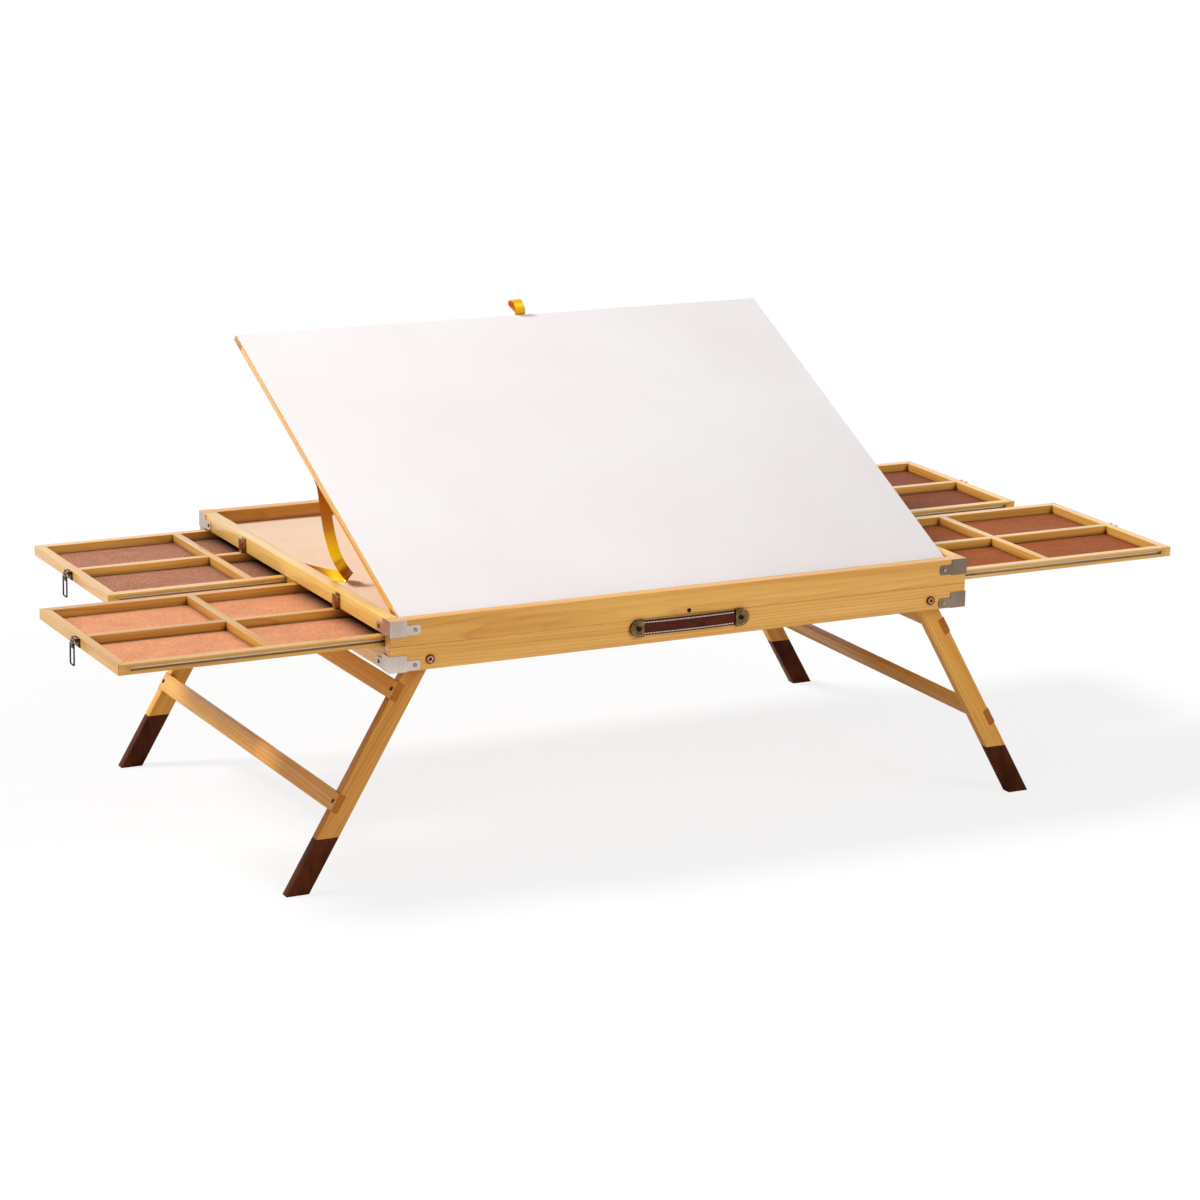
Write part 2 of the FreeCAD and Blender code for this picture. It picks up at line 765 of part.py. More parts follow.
drawer_parts = {
    "frame": drawer_frame,
    "bottom": panel,
    "slides": drawer_slides,
    "latch_plate": latch_base,
    "latch_lever": lever,
    "latch_bail": bail,
}
for place, share in DRAWER_PULL_SHARES.items():
    pull = DRAWER_L * share
    for part_name, shape in drawer_parts.items():
        moved = shape.translated(Vector(-pull, 0, 0))
        if place.endswith("right"):
            moved = mirror_x(moved)
        if place.startswith("rear"):
            moved = mirror_y(moved)
        nodes[place + "_drawer_" + part_name] = moved

# Tilting board, drawn flat in the box and then turned up about its pivot pins.
bx = IN_X - BOARD_SIDE_GAP
by0 = -IN_Y + BOARD_END_GAP
by1 = IN_Y - BOARD_END_GAP
rail_top = Z_TOP - SHEET_T
rail_low = Z_TOP - BOARD_T
infill_low = rail_top - INFILL_T
board_bars = [
    box(-bx, bx, by0, by0 + BOARD_RAIL_W, rail_low, rail_top),
    box(-bx, bx, by1 - BOARD_RAIL_W, by1, rail_low, rail_top),
    box(-bx, -bx + BOARD_RAIL_W, by0 + BOARD_RAIL_W, by1 - BOARD_RAIL_W, rail_low, rail_top),
    box(bx - BOARD_RAIL_W, bx, by0 + BOARD_RAIL_W, by1 - BOARD_RAIL_W, rail_low, rail_top),
]
board_bore = rod(
    Vector(-bx, hinge_y, hinge_z),
    AX_X,
    PIVOT_PIN_GRIP,
    PIVOT_PIN_R + PIVOT_PIN_PLAY,
)
board_bores = group([board_bore, mirror_x(board_bore)])
board_rails = group([bar.cut(board_bores) for bar in board_bars])
board_infill = box(
    -bx + BOARD_RAIL_W,
    bx - BOARD_RAIL_W,
    by0 + BOARD_RAIL_W,
    by1 - BOARD_RAIL_W,
    infill_low,
    rail_top,
)
board_sheet = box(
    -bx + SHEET_BORDER,
    bx - SHEET_BORDER,
    by0 + SHEET_BORDER,
    by1 - SHEET_BORDER,
    rail_top,
    Z_TOP,
)

# The prop's pivot and foot lie level when it is folded flat under the board.
tilt = math.radians(BOARD_TILT)
prop_z = Z_FLOOR + PROP_FOOT_UP
prop_below = hinge_z - prop_z
prop_reach = FRAME_D * PROP_REACH_SHARE - HINGE_IN * 2
prop_length = prop_reach + prop_below * math.tan(tilt / 2)
prop_pivot = Vector(0, hinge_y + prop_reach, prop_z)
prop_foot = prop_pivot + AX_Y * prop_length
block_low = prop_z - PROP_ROD_R - PROP_BLOCK_SKIN
arm_in = PROP_HALF_SPAN - PROP_ARM_W / 2
block_x1 = -arm_in + PROP_BLOCK_GAP + PROP_BLOCK_W
block = box(
    -arm_in + PROP_BLOCK_GAP,
    block_x1,
    prop_pivot.y - PROP_BLOCK_L / 2,
    prop_pivot.y + PROP_BLOCK_L / 2,
    block_low,
    infill_low,
)
arm_out = PROP_HALF_SPAN + PROP_ARM_W / 2
guide_x0 = -arm_out - GUIDE_GAP - GUIDE_T
foot_half = arm_out + GUIDE_GAP + GUIDE_T + PROP_NUT_GAP + PROP_NUT_T
pivot_rod = rod(Vector(-arm_out, prop_pivot.y, prop_z), AX_X, 2 * arm_out, PROP_ROD_R)
foot_rod = rod(Vector(-foot_half, prop_foot.y, prop_z), AX_X, 2 * foot_half, PROP_ROD_R)
block_bore = rod(
    Vector(-arm_out, prop_pivot.y, prop_z),
    AX_X,
    2 * arm_out,
    PROP_ROD_R + PIVOT_PIN_PLAY,
)
prop_blocks = group([block.cut(block_bore), mirror_x(block).cut(block_bore)])
half_arm = PROP_ARM_T / 2
arm_box = box(
    -arm_out, -arm_in, prop_pivot.y, prop_foot.y, prop_z - half_arm, prop_z + half_arm
)
arm_ends = []
for end in (prop_pivot, prop_foot):
    arm_ends.append(rod(Vector(-arm_out, end.y, prop_z), AX_X, PROP_ARM_W, half_arm))
arm = fuse([arm_box] + arm_ends).cut(group([pivot_rod, foot_rod]))
bar_y = prop_pivot.y + prop_length * PROP_BAR_SHARE
cross_bar = box(
    -arm_in,
    arm_in,
    bar_y - PROP_BAR_W / 2,
    bar_y + PROP_BAR_W / 2,
    prop_z - PROP_BAR_T / 2,
    prop_z + PROP_BAR_T / 2,
)
prop_arms = group([arm, mirror_x(arm), cross_bar])
nut_x = -foot_half
clamp_nut = rod(Vector(nut_x, prop_foot.y, prop_z), AX_X, PROP_NUT_T, PROP_NUT_R)
clamped_rod = fuse([foot_rod, clamp_nut, mirror_x(clamp_nut)])
prop_rods = group([pivot_rod, clamped_rod])

# Pull loop: a short ribbon fixed to the board's back edge and looped above it.
loop_x0 = LOOP_X - RIBBON_W / 2
loop_base = Vector(loop_x0, by1 + RIBBON_T / 2, Z_TOP + LOOP_STAND)
loop_mid = loop_base + Vector(0, math.sin(tilt), math.cos(tilt)) * LOOP_R
loop_ring = rod(loop_mid, AX_X, RIBBON_W, LOOP_R)
loop_ring = loop_ring.cut(rod(loop_mid, AX_X, RIBBON_W, LOOP_R - RIBBON_T))
loop_flap = box(
    loop_x0,
    loop_x0 + RIBBON_W,
    by1,
    by1 + RIBBON_T,
    Z_TOP - LOOP_FLAP,
    Z_TOP + LOOP_STAND,
)
loop_foot = rod(loop_base, AX_X, RIBBON_W, RIBBON_T)
pull_ribbon = fuse([loop_ring, loop_flap, loop_foot])


def tilted(shape):
    """A shape drawn with the board closed, turned to the board's rest tilt."""
    return shape.rotated(hinge, AX_X, BOARD_TILT)


def propped(shape):
    """A shape drawn with the prop folded, swung down and then tilted."""
    return tilted(shape.rotated(prop_pivot, AX_X, -2 * BOARD_TILT))


nodes["board_rails"] = tilted(board_rails)
nodes["board_infill"] = tilted(board_infill)
nodes["board_sheet"] = tilted(board_sheet)
nodes["board_prop_blocks"] = tilted(prop_blocks)
nodes["pull_ribbon"] = tilted(pull_ribbon)
nodes["prop_arms"] = propped(prop_arms)
nodes["prop_rods"] = propped(prop_rods)

# Slotted guides on the floor: the prop's foot slides in them and is clamped.
foot_closed = prop_foot.y
foot_open = hinge_y + (prop_reach + prop_length) * math.cos(tilt)
slot_half = PROP_ROD_R + GUIDE_SLOT_PLAY
slot_y0 = foot_open - slot_half
slot_y1 = foot_closed + slot_half
guide = box(
    guide_x0,
    guide_x0 + GUIDE_T,
    slot_y0 - GUIDE_END,
    slot_y1 + GUIDE_END,
    Z_FLOOR,
    Z_FLOOR + GUIDE_H,
)
slot = box(
    guide_x0,
    guide_x0 + GUIDE_T,
    slot_y0,
    slot_y1,
    prop_z - slot_half,
    prop_z + slot_half,
)
guide = guide.cut(slot)
nodes["prop_guides"] = group([guide, mirror_x(guide)])
nodes["box_floor"] = floor_panel

# Stay ribbons: from under the board's edge, slack to the floor, then to the rail.
stay_along = FRAME_D * STAY_BOARD_SHARE - HINGE_IN * 4
stay_drop = hinge_z - rail_low + RIBBON_AIR
board_dir = Vector(0, math.cos(tilt), math.sin(tilt))
board_up = Vector(0, -math.sin(tilt), math.cos(tilt))
stay_x = -IN_X + STAY_IN
fold_x = stay_x + STAY_DRIFT


def board_under(along):
    """A point just under the board, at a distance from its hinge."""
    return Vector(stay_x, hinge_y, hinge_z) + board_dir * along - board_up * stay_drop


leave = board_under(stay_along)
fold = Vector(fold_x, leave.y - STAY_FOLD_FORE, Z_FLOOR + RIBBON_AIR + RIBBON_T)
rail_end = Vector(-IN_X + RIBBON_AIR, leave.y + STAY_RAIL_BACK, Z_FLOOR + STAY_LIFT)
stations = [
    (board_under(stay_along + STAY_FLAP), AX_X, board_up),
    (leave, AX_X, board_up),
]
hang_top = leave + Vector(0, -STAY_TURN / 2, -STAY_TURN)
hang_low = fold + Vector(0, -STAY_TURN / 2, STAY_TURN)
hang_shares = (0, 0.25, 0.5, 0.75, 1)
for share in hang_shares:
    bow = AX_Y * (-STAY_BOW * math.sin(math.pi * share))
    spot = hang_top + (hang_low - hang_top) * share + bow
    stations.append((spot, AX_X, AX_Y * -1))
stations.append((fold, AX_X, AX_Z * -1))
run = rail_end - fold
run_flat = Vector(run.x, run.y, 0)
run_side = Vector(run.y, -run.x, 0) / run_flat.Length
floor_shares = (0.2, 0.45)
for share in floor_shares:
    spot = fold + run_flat * share
    side = (AX_X * (1 - share) + run_side * share).normalize()
    stations.append((spot, side, AX_Z * -1))
lift_share = 0.75
lifted = fold + run_flat * lift_share + AX_Z * (run.z * lift_share)
lift_side = (run_side - AX_Z).normalize()
lift_face = (AX_X + AX_Z).normalize() * -1
stations.append((lifted, lift_side, lift_face))
stations.append((rail_end, AX_Z * -1, AX_X * -1))
stations.append((rail_end + AX_Y * STAY_FLAP, AX_Z * -1, AX_X * -1))

outlines = []
for spot, side, face in stations:
    wide = side * (RIBBON_W / 2)
    thick = face * (RIBBON_T / 2)
    corners = [
        spot - wide - thick,
        spot + wide - thick,
        spot + wide + thick,
        spot - wide + thick,
    ]
    outlines.append(Part.makePolygon(corners + [corners[0]]))
ribbon_faces = [Part.Face(outlines[0]), Part.Face(outlines[-1])]
for near, far in zip(outlines, outlines[1:]):
    for edge_a, edge_b in zip(near.Edges, far.Edges):
        ribbon_faces.append(Part.makeRuledSurface(edge_a, edge_b))
stay_shell = Part.makeShell(ribbon_faces)
stay_shell.sewShape()
stay = Part.makeSolid(stay_shell)
if stay.Volume < 0:
    stay.reverse()
nodes["left_stay_ribbon"] = stay
nodes["right_stay_ribbon"] = mirror_x(stay)

os.makedirs("parts", exist_ok=True)
for name, shape in nodes.items():
    shape.exportStep(os.path.join("parts", name + ".step"))
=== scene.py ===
import math
import random

import bmesh
import bpy
from mathutils import Matrix, Vector


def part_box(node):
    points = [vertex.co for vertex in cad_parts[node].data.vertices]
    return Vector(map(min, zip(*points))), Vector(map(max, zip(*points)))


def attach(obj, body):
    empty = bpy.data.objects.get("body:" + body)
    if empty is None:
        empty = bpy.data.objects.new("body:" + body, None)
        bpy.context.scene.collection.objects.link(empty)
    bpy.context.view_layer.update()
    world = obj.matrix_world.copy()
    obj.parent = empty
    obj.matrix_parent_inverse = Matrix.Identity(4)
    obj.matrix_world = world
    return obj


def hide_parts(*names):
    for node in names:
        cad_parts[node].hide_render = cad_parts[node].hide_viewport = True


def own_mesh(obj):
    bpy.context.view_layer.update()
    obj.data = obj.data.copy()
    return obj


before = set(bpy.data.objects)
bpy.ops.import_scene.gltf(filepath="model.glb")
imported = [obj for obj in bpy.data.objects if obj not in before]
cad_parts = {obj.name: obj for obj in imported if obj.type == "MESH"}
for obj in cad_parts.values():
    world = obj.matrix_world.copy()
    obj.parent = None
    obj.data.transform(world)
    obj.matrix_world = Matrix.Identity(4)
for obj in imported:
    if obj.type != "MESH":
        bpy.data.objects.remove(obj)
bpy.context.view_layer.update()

# Box frame: two long aprons, each glued up from two pine boards, and four side rails.
# Their edges are eased with sandpaper, and a clear satin lacquer keeps the grain
# showing. The rails stop against the aprons, and the drawers run in the gap between.
MM = 0.001
EASED_EDGE = 0.7
SEAM_SHARE = 0.49
COUNTERBORE_R = 3.2
COUNTERBORE_DEPTH = 0.9
RING_SPACING = 4.6
RING_WANDER = 14.0
# Painted shade in the wood's narrow corners: how far it reaches, in mm, and how dark it gets
# there.
CORNER_SHADE_REACH = 9.0
CORNER_SHADE_LEAST = 0.4
LATEWOOD_RELIEF = 0.35
GRAIN_DEPTH = 0.06
PITH_NEAREST = 26
PITH_FARTHEST = 70
GRAIN_LEAN = 0.03
UPPER_LEAN = (0.012, 0.03)
LOWER_LEAN = (0.006, 0.01)
TRUNK_LENGTH = 40
STEEP_RUN = 0.7
END_FACING = 0.8
STICK_ANGLE = 30
trunk = random.Random(11)


def srgb(red, green, blue):
    """A colour as seen on a screen, 0 to 255, as a shader colour."""
    shares = [channel / 255 for channel in (red, green, blue)]
    return (*[s / 12.92 if s < 0.04 else ((s + 0.055) / 1.055) ** 2.4 for s in shares], 1.0)


def put(tree, kind, inputs, **settings):
    """Adds a shader node, sets it up and feeds its inputs with values or wires."""
    added = tree.nodes.new("ShaderNode" + kind)
    for key, value in settings.items():
        setattr(added, key, value)
    for key, value in inputs.items():
        if isinstance(value, bpy.types.NodeSocket):
            tree.links.new(value, added.inputs[key])
        else:
            added.inputs[key].default_value = value
    return added


def sums(tree, operation, first, second=0.0, third=0.0):
    """A sum, product or comparison of up to three values."""
    return put(tree, "Math", {0: first, 1: second, 2: third}, operation=operation).outputs[0]


def mixed(tree, share, first, second, blend="MIX"):
    """One colour laid over another, by a share."""
    inputs = {0: share, 6: first, 7: second}
    return put(tree, "Mix", inputs, data_type="RGBA", blend_type=blend).outputs[2]


def banded(tree, share, stops):
    """A band of colours or greys, given as (place, value) from 0 to 1."""
    band = put(tree, "ValToRGB", {"Fac": share})
    marks = band.color_ramp.elements
    for place, _ in stops[2:]:
        marks.new(place)
    for mark, (place, value) in zip(marks, stops):
        mark.position = place
        mark.color = value if isinstance(value, tuple) else (value, value, value, 1.0)
    return band.outputs[0]


def speckle(tree, where, stretch, detail=2.0, roughness=0.5):
    """A cloudy pattern, with its own count of clouds per metre along each axis."""
    spread = put(tree, "Mapping", {"Vector": where, "Scale": stretch}).outputs[0]
    inputs = {"Vector": spread, "Scale": 1.0, "Detail": detail, "Roughness": roughness}
    return put(tree, "TexNoise", inputs).outputs[0]


def new_finish(name, **sockets):
    """An empty finish: its node tree, its shader and the shader's fixed settings."""
    made = bpy.data.materials.new(name)
    made.use_nodes = True
    shader = made.node_tree.nodes["Principled BSDF"]
    for key, value in sockets.items():
        shader.inputs[key.replace("_", " ")].default_value = value
    return made, made.node_tree, shader


def raise_surface(tree, shader, height, depth, strength=1.0):
    """Lifts the surface by a pattern, to a depth in mm."""
    inputs = {"Height": height, "Distance": depth * MM, "Strength": strength}
    tree.links.new(put(tree, "Bump", inputs).outputs[0], shader.inputs["Normal"])


def wire_up(tree, shader, colour, gloss=None):
    """Gives a finish the pattern of its colour and, where it has one, of its roughness."""
    tree.links.new(colour, shader.inputs["Base Color"])
    if gloss is not None:
        tree.links.new(gloss, shader.inputs["Roughness"])


def paint_corner_shade(tree, colour, reach, least):
    """Darkens a colour in narrow corners as painted shade, the more so the more closely a corner
    is walled in.
    """
    open_share = put(tree, "AmbientOcclusion", {"Distance": reach * MM}, samples=6).outputs["AO"]
    corner_shade = banded(tree, open_share, [(0.2, least), (0.8, 1.0)])
    return mixed(tree, 1.0, colour, corner_shade, "MULTIPLY")


# Clouds per metre along a stick, across it and through it, and the tones that they lay.
WANDER_CLOUDS = (2.2, 13.0, 13.0)
STRENGTH_CLOUDS = (1.7, 9.0, 9.0)
TONE_CLOUDS = (2.6, 16.0, 16.0)
STREAK_CLOUDS = (1.4, 75.0, 75.0)
FIBRE_CLOUDS = (14.0, 900.0, 900.0)
DUCT_CLOUDS = (34.0, 620.0, 620.0)
PALE_TONE = (1.0, 0.98, 0.94, 1.0)
HONEY_TONE = (0.88, 0.75, 0.56, 1.0)
BROWN_STREAK = (0.8, 0.67, 0.48, 1.0)
RESIN = srgb(150, 94, 42)
TONE_SHARE = 0.8
FIBRE_SHARE = 0.7
END_GRAIN = (206, 185, 150)


def pine_grain(tree, early, late, soak):
    """Growth rings round the stick's own pith, with fibres, flecks and clouds. The sawn
    ends soak up more lacquer, which darkens them."""
    where = put(tree, "Attribute", {}, attribute_name="wood").outputs["Vector"]
    flat = put(tree, "Mapping", {"Vector": where, "Scale": (0.0, 1.0, 1.0)}).outputs[0]
    radius = put(tree, "VectorMath", {0: flat}, operation="LENGTH").outputs["Value"]
    wander = speckle(tree, where, WANDER_CLOUDS, detail=3.0)
    radius = sums(tree, "MULTIPLY_ADD", wander, RING_WANDER * MM, radius)
    ring = sums(tree, "FRACT", sums(tree, "MULTIPLY", radius, 1 / (RING_SPACING * MM)))
    latewood = banded(tree, ring, [(0.0, 0.0), (0.42, 0.12), (0.78, 0.5), (0.9, 1.0), (1.0, 0.0)])
    strength = banded(tree, speckle(tree, where, STRENGTH_CLOUDS), [(0.35, 0.2), (0.7, 0.8)])
    colour = mixed(tree, sums(tree, "MULTIPLY", latewood, strength), srgb(*early), srgb(*late))
    cloud = speckle(tree, where, TONE_CLOUDS, detail=3.0, roughness=0.6)
    warm = banded(tree, cloud, [(0.3, PALE_TONE), (0.72, HONEY_TONE)])
    colour = mixed(tree, TONE_SHARE, colour, warm, "MULTIPLY")
    long_streak = speckle(tree, where, STREAK_CLOUDS, detail=3.0, roughness=0.55)
    stain = banded(tree, long_streak, [(0.42, 1.0), (0.7, BROWN_STREAK)])
    colour = mixed(tree, TONE_SHARE, colour, stain, "MULTIPLY")
    fibre = speckle(tree, where, FIBRE_CLOUDS, detail=3.0, roughness=0.6)
    streak = banded(tree, fibre, [(0.3, 0.86), (0.7, 1.0)])
    colour = mixed(tree, FIBRE_SHARE, colour, streak, "MULTIPLY")
    ducts = speckle(tree, where, DUCT_CLOUDS, detail=1.0)
    fleck = banded(tree, ducts, [(0.0, 0.0), (0.715, 0.0), (0.79, 0.55)])
    colour = mixed(tree, fleck, colour, RESIN)
    sawn = put(tree, "Attribute", {}, attribute_name="sawn_end").outputs["Fac"]
    soaked = mixed(tree, 1.0, colour, srgb(*soak), "MULTIPLY")
    colour = mixed(tree, sawn, colour, soaked)
    # Narrow corners of the wood get painted shade.
    return paint_corner_shade(tree, colour, CORNER_SHADE_REACH, CORNER_SHADE_LEAST), fibre, latewood


def lay_grain(tree, shader, colour, fibre, latewood, gloss, strength):
    """Gives a finish the grain's colour, gloss and relief."""
    wire_up(tree, shader, colour, banded(tree, fibre, gloss))
    relief = sums(tree, "MULTIPLY_ADD", latewood, LATEWOOD_RELIEF, fibre)
    raise_surface(tree, shader, relief, GRAIN_DEPTH, strength)


def pine_finish(name, early, late, lacquer=0.8, soak=END_GRAIN):
    """Pine under a clear lacquer, from the tones of its early and its late wood."""
    made, tree, shader = new_finish(
        name, Specular_IOR_Level=lacquer / 2, Coat_Weight=lacquer, Coat_Roughness=0.22
    )
    grain = pine_grain(tree, early, late, soak)
    lay_grain(tree, shader, *grain, gloss=[(0.25, 0.3), (0.75, 0.42)], strength=0.7)
    return made


def smooth_below(angle):
    """Shades the picked piece smooth, apart from edges sharper than so many degrees."""
    bpy.ops.object.shade_smooth_by_angle(angle=math.radians(angle))


def ease_edges(eased):
    """Eases every edge of the piece in hand, by a width in mm."""
    bpy.ops.object.mode_set(mode="EDIT")
    bpy.ops.mesh.select_all(action="SELECT")
    bpy.ops.mesh.bevel(offset=eased * MM, segments=2, affect="EDGES")
    bpy.ops.object.mode_set(mode="OBJECT")


def pick_none():
    """Lets go of every piece, the solids too."""
    bpy.ops.object.select_all(action="DESELECT")


def plank(name, low, high, eased=EASED_EDGE):
    """A stick of wood between two corners in mm, with its edges eased."""
    low, high = Vector(low) * MM, Vector(high) * MM
    pick_none()
    bpy.ops.mesh.primitive_cube_add(size=1, location=(low + high) / 2, scale=high - low)
    stick = bpy.context.active_object
    stick.name = stick.data.name = name
    bpy.ops.object.transform_apply(location=True, rotation=True, scale=True)
    if eased:
        ease_edges(eased)
    smooth_below(STICK_ANGLE)
    return stick


def run_grain(stick, along, pith=None, lean=None):
    """Lays the grain along a stick. The pith is given by its distances from the
    stick's middle, across and through it, and leans away slowly along the stick."""
    along = Vector(along).normalized()
    steep = abs(along.z) >= STEEP_RUN
    across = along.cross(Vector((0, 1, 0))) if steep else Vector((0, 0, 1))
    through = along.cross(across)
    turn = trunk.uniform(0, 2 * math.pi)
    reach = trunk.uniform(PITH_NEAREST, PITH_FARTHEST)
    pith = pith or (reach * math.cos(turn), reach * math.sin(turn))
    lean = lean or [trunk.uniform(-GRAIN_LEAN, GRAIN_LEAN) for _ in range(2)]
    seat = trunk.uniform(0, TRUNK_LENGTH)
    points = [vertex.co for vertex in stick.data.vertices]
    middle = sum(points, Vector()) / len(points)
    grain = stick.data.attributes.new("wood", "FLOAT_VECTOR", "POINT")
    for spot, point in zip(grain.data, points):
        far = point - middle
        length = far.dot(along)
        spot.vector = (
            length + seat,
            far.dot(across) - pith[0] * MM + lean[0] * length,
            far.dot(through) - pith[1] * MM + lean[1] * length,
        )
    sawn = stick.data.attributes.new("sawn_end", "FLOAT", "FACE")
    for mark, face in zip(sawn.data, stick.data.polygons):
        mark.value = float(abs(face.normal.dot(along)) > END_FACING)


def join(pieces):
    """Makes one piece of several, under the name of the first."""
    pick_none()
    for piece in pieces:
        piece.select_set(True)
    bpy.context.view_layer.objects.active = pieces[0]
    bpy.ops.object.join()
    return pieces[0]


def cut_away(stick, tool):
    """Takes a tool's shape out of a stick, and puts the tool away."""
    cut = stick.modifiers.new("cut", "BOOLEAN")
    cut.operation = "DIFFERENCE"
    cut.object = tool
    bpy.context.view_layer.objects.active = stick
    bpy.ops.object.modifier_apply(modifier="cut")
    bpy.data.objects.remove(tool)


def bore(stick, centre, radius, depth):
    """Bores a shallow round hole along Y, in from the face that the centre is on."""
    pick_none()
    bpy.ops.mesh.primitive_cylinder_add(
        vertices=40,
        radius=radius * MM,
        depth=2 * depth * MM,
        location=Vector(centre) * MM,
        rotation=(math.pi / 2, 0, 0),
    )
    cut_away(stick, bpy.context.active_object)


def hand_over(piece, finish, body, slot, *nodes):
    """Gives a piece its finish or finishes, hangs it on the body that it rides on, and hides the
    solids that it stands for; the slot is not used.
    """
    marks = [face.material_index for face in piece.data.polygons]
    piece.data.materials.clear()
    for each in finish if isinstance(finish, tuple) else (finish,):
        piece.data.materials.append(each)
    if isinstance(finish, tuple):
        for face, mark in zip(piece.data.polygons, marks):
            face.material_index = mark
    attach(piece, body)
    if nodes:
        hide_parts(*nodes)


def extent(node):
    """A solid's lowest and highest corners, in mm."""
    return [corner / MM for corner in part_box(node)]


box_pine = pine_finish("box_pine", (246, 190, 93), (206, 127, 40), lacquer=0.5)
rail_pine = pine_finish("rail_pine", (255, 217, 128), (250, 186, 94), lacquer=0.6)
screw_z = (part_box("left_lower_rail")[1].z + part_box("left_upper_rail")[0].z) / MM / 2
for node, upper_pith, lower_pith in (
    ("front_apron", (-9, 38), (44, 20)),
    ("rear_apron", (9, -30), (-50, 24)),
):
    low, high = extent(node)
    seam = low.z + (high.z - low.z) * SEAM_SHARE
    face_y = low.y if node == "front_apron" else high.y
    upper = plank(node + "_board", (low.x, low.y, seam), high)
    bore(upper, (0, face_y, screw_z), COUNTERBORE_R, COUNTERBORE_DEPTH)
    lower = plank(node + "_lower_board", low, (high.x, high.y, seam))
    run_grain(upper, (1, 0, 0), upper_pith, UPPER_LEAN)
    run_grain(lower, (1, 0, 0), lower_pith, LOWER_LEAN)
    hand_over(join([upper, lower]), box_pine, "frame", "pine", node)
for side in ("left", "right"):
    for level in ("upper", "lower"):
        node = f"{side}_{level}_rail"
        rail = plank(node + "_board", *extent(node))
        run_grain(rail, (0, 1, 0))
        hand_over(rail, rail_pine, "frame", "pine", node)

# Box floor: a thin sheet of smooth fibreboard, pinkish beige, let into a groove
# all round the box. The board lies over it when the box is closed.
PANEL_EASED = 0.3


def table_place(tree):
    """Where a point lies on the table, in metres."""
    return put(tree, "TexCoord", {}).outputs["Object"]


fibreboard, tree, shader = new_finish("pink_fibreboard", Roughness=0.62, Specular_IOR_Level=0.3)
where = table_place(tree)
lint = speckle(tree, where, (420.0, 700.0, 500.0), detail=3.0, roughness=0.65)
haze = speckle(tree, where, (7.0, 9.0, 7.0))
paper = banded(tree, lint, [(0.3, srgb(230, 202, 174)), (0.7, srgb(244, 222, 198))])
shade = banded(tree, haze, [(0.3, srgb(244, 232, 226)), (0.7, srgb(255, 255, 255))])
wire_up(tree, shader, mixed(tree, 0.6, paper, shade, "MULTIPLY"))
raise_surface(tree, shader, lint, depth=0.03, strength=0.5)
panel = plank("box_floor_panel", *extent("box_floor"), PANEL_EASED)
hand_over(panel, fibreboard, "frame", "floor_ply", "box_floor")

# Centre partition and two beams under the floor. They part the four drawers
# from each other, and are glued and screwed between the aprons.
low, high = extent("inner_beams")
PARTITION_T = 24
BEAM_W = 28
beams = [
    plank("inner_beams_wood", (-PARTITION_T / 2, low.y, low.z), (PARTITION_T / 2, high.y, high.z)),
    plank("left_beam", (low.x, -BEAM_W / 2, low.z), (-PARTITION_T / 2, BEAM_W / 2, high.z)),
    plank("right_beam", (PARTITION_T / 2, -BEAM_W / 2, low.z), (high.x, BEAM_W / 2, high.z)),
]
for beam, along in zip(beams, ((0, 1, 0), (1, 0, 0), (1, 0, 0))):
    run_grain(beam, along)
hand_over(join(beams), box_pine, "frame", "pine", "inner_beams")

# Drawer runners: pale satin strips of metal, screwed to the aprons and beams. The
# grooves in the drawers' sides hang on them.
WELD = 0.002
FLAT_ANGLE = 1
SHARP_ANGLE = 40
PRESSED_ANGLE = 32


def dappled(name, clouds, tones, gloss, detail=3.0, rough=0.5, depth=0.0, **sockets):
    """A finish whose tones, gloss and relief, if it has any, follow one cloudy pattern."""
    made, tree, shader = new_finish(name, **sockets)
    pattern = speckle(tree, table_place(tree), clouds, detail, rough)
    bands = [(place, srgb(*tone)) for place, tone in tones]
    wire_up(tree, shader, banded(tree, pattern, bands), banded(tree, pattern, gloss))
    if depth:
        raise_surface(tree, shader, pattern, depth, strength=0.5)
    return made


bright_strip = dappled(
    "bright_strip",
    (6.0, 900.0, 900.0),
    [(0.3, (240, 224, 206)), (0.7, (255, 246, 234))],
    [(0.3, 0.26), (0.7, 0.42)],
    Metallic=0.2,
)


def pick_sharp(angle):
    """Picks the edges of the opened piece that are sharper than so many degrees."""
    bpy.ops.mesh.select_all(action="DESELECT")
    bpy.ops.mesh.edges_select_sharp(sharpness=math.radians(angle))


def ease_picked(eased, segments=2):
    """Eases the picked edges of the opened piece, by a width in mm."""
    bpy.ops.mesh.bevel(offset=eased * MM, segments=segments, affect="EDGES", clamp_overlap=True)


def from_cad(name, node, eased=0, wanted=None):
    """A copy of a solid: welded, cleared of its triangles, and its sharp edges eased.
    Where wanted is given, only the edges that it picks by their ends are eased."""
    pick_none()
    piece = bpy.data.objects.new(name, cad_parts[node].data.copy())
    bpy.context.collection.objects.link(piece)
    bpy.context.view_layer.objects.active = piece
    piece.select_set(True)
    bpy.ops.mesh.customdata_custom_splitnormals_clear()
    bpy.ops.object.mode_set(mode="EDIT")
    bpy.ops.mesh.select_mode(type="EDGE")
    bpy.ops.mesh.select_all(action="SELECT")
    bpy.ops.mesh.remove_doubles(threshold=WELD * MM)
    bpy.ops.mesh.dissolve_limited(angle_limit=math.radians(FLAT_ANGLE))
    if eased:
        pick_sharp(SHARP_ANGLE)
        if wanted:
            open_mesh = bmesh.from_edit_mesh(piece.data)
            for edge in open_mesh.edges:
                ends = [vertex.co / MM for vertex in edge.verts]
                edge.select_set(edge.select and wanted(*ends))
            bmesh.update_edit_mesh(piece.data)
        ease_picked(eased)
    bpy.ops.object.mode_set(mode="OBJECT")
    smooth_below(PRESSED_ANGLE)
    return piece


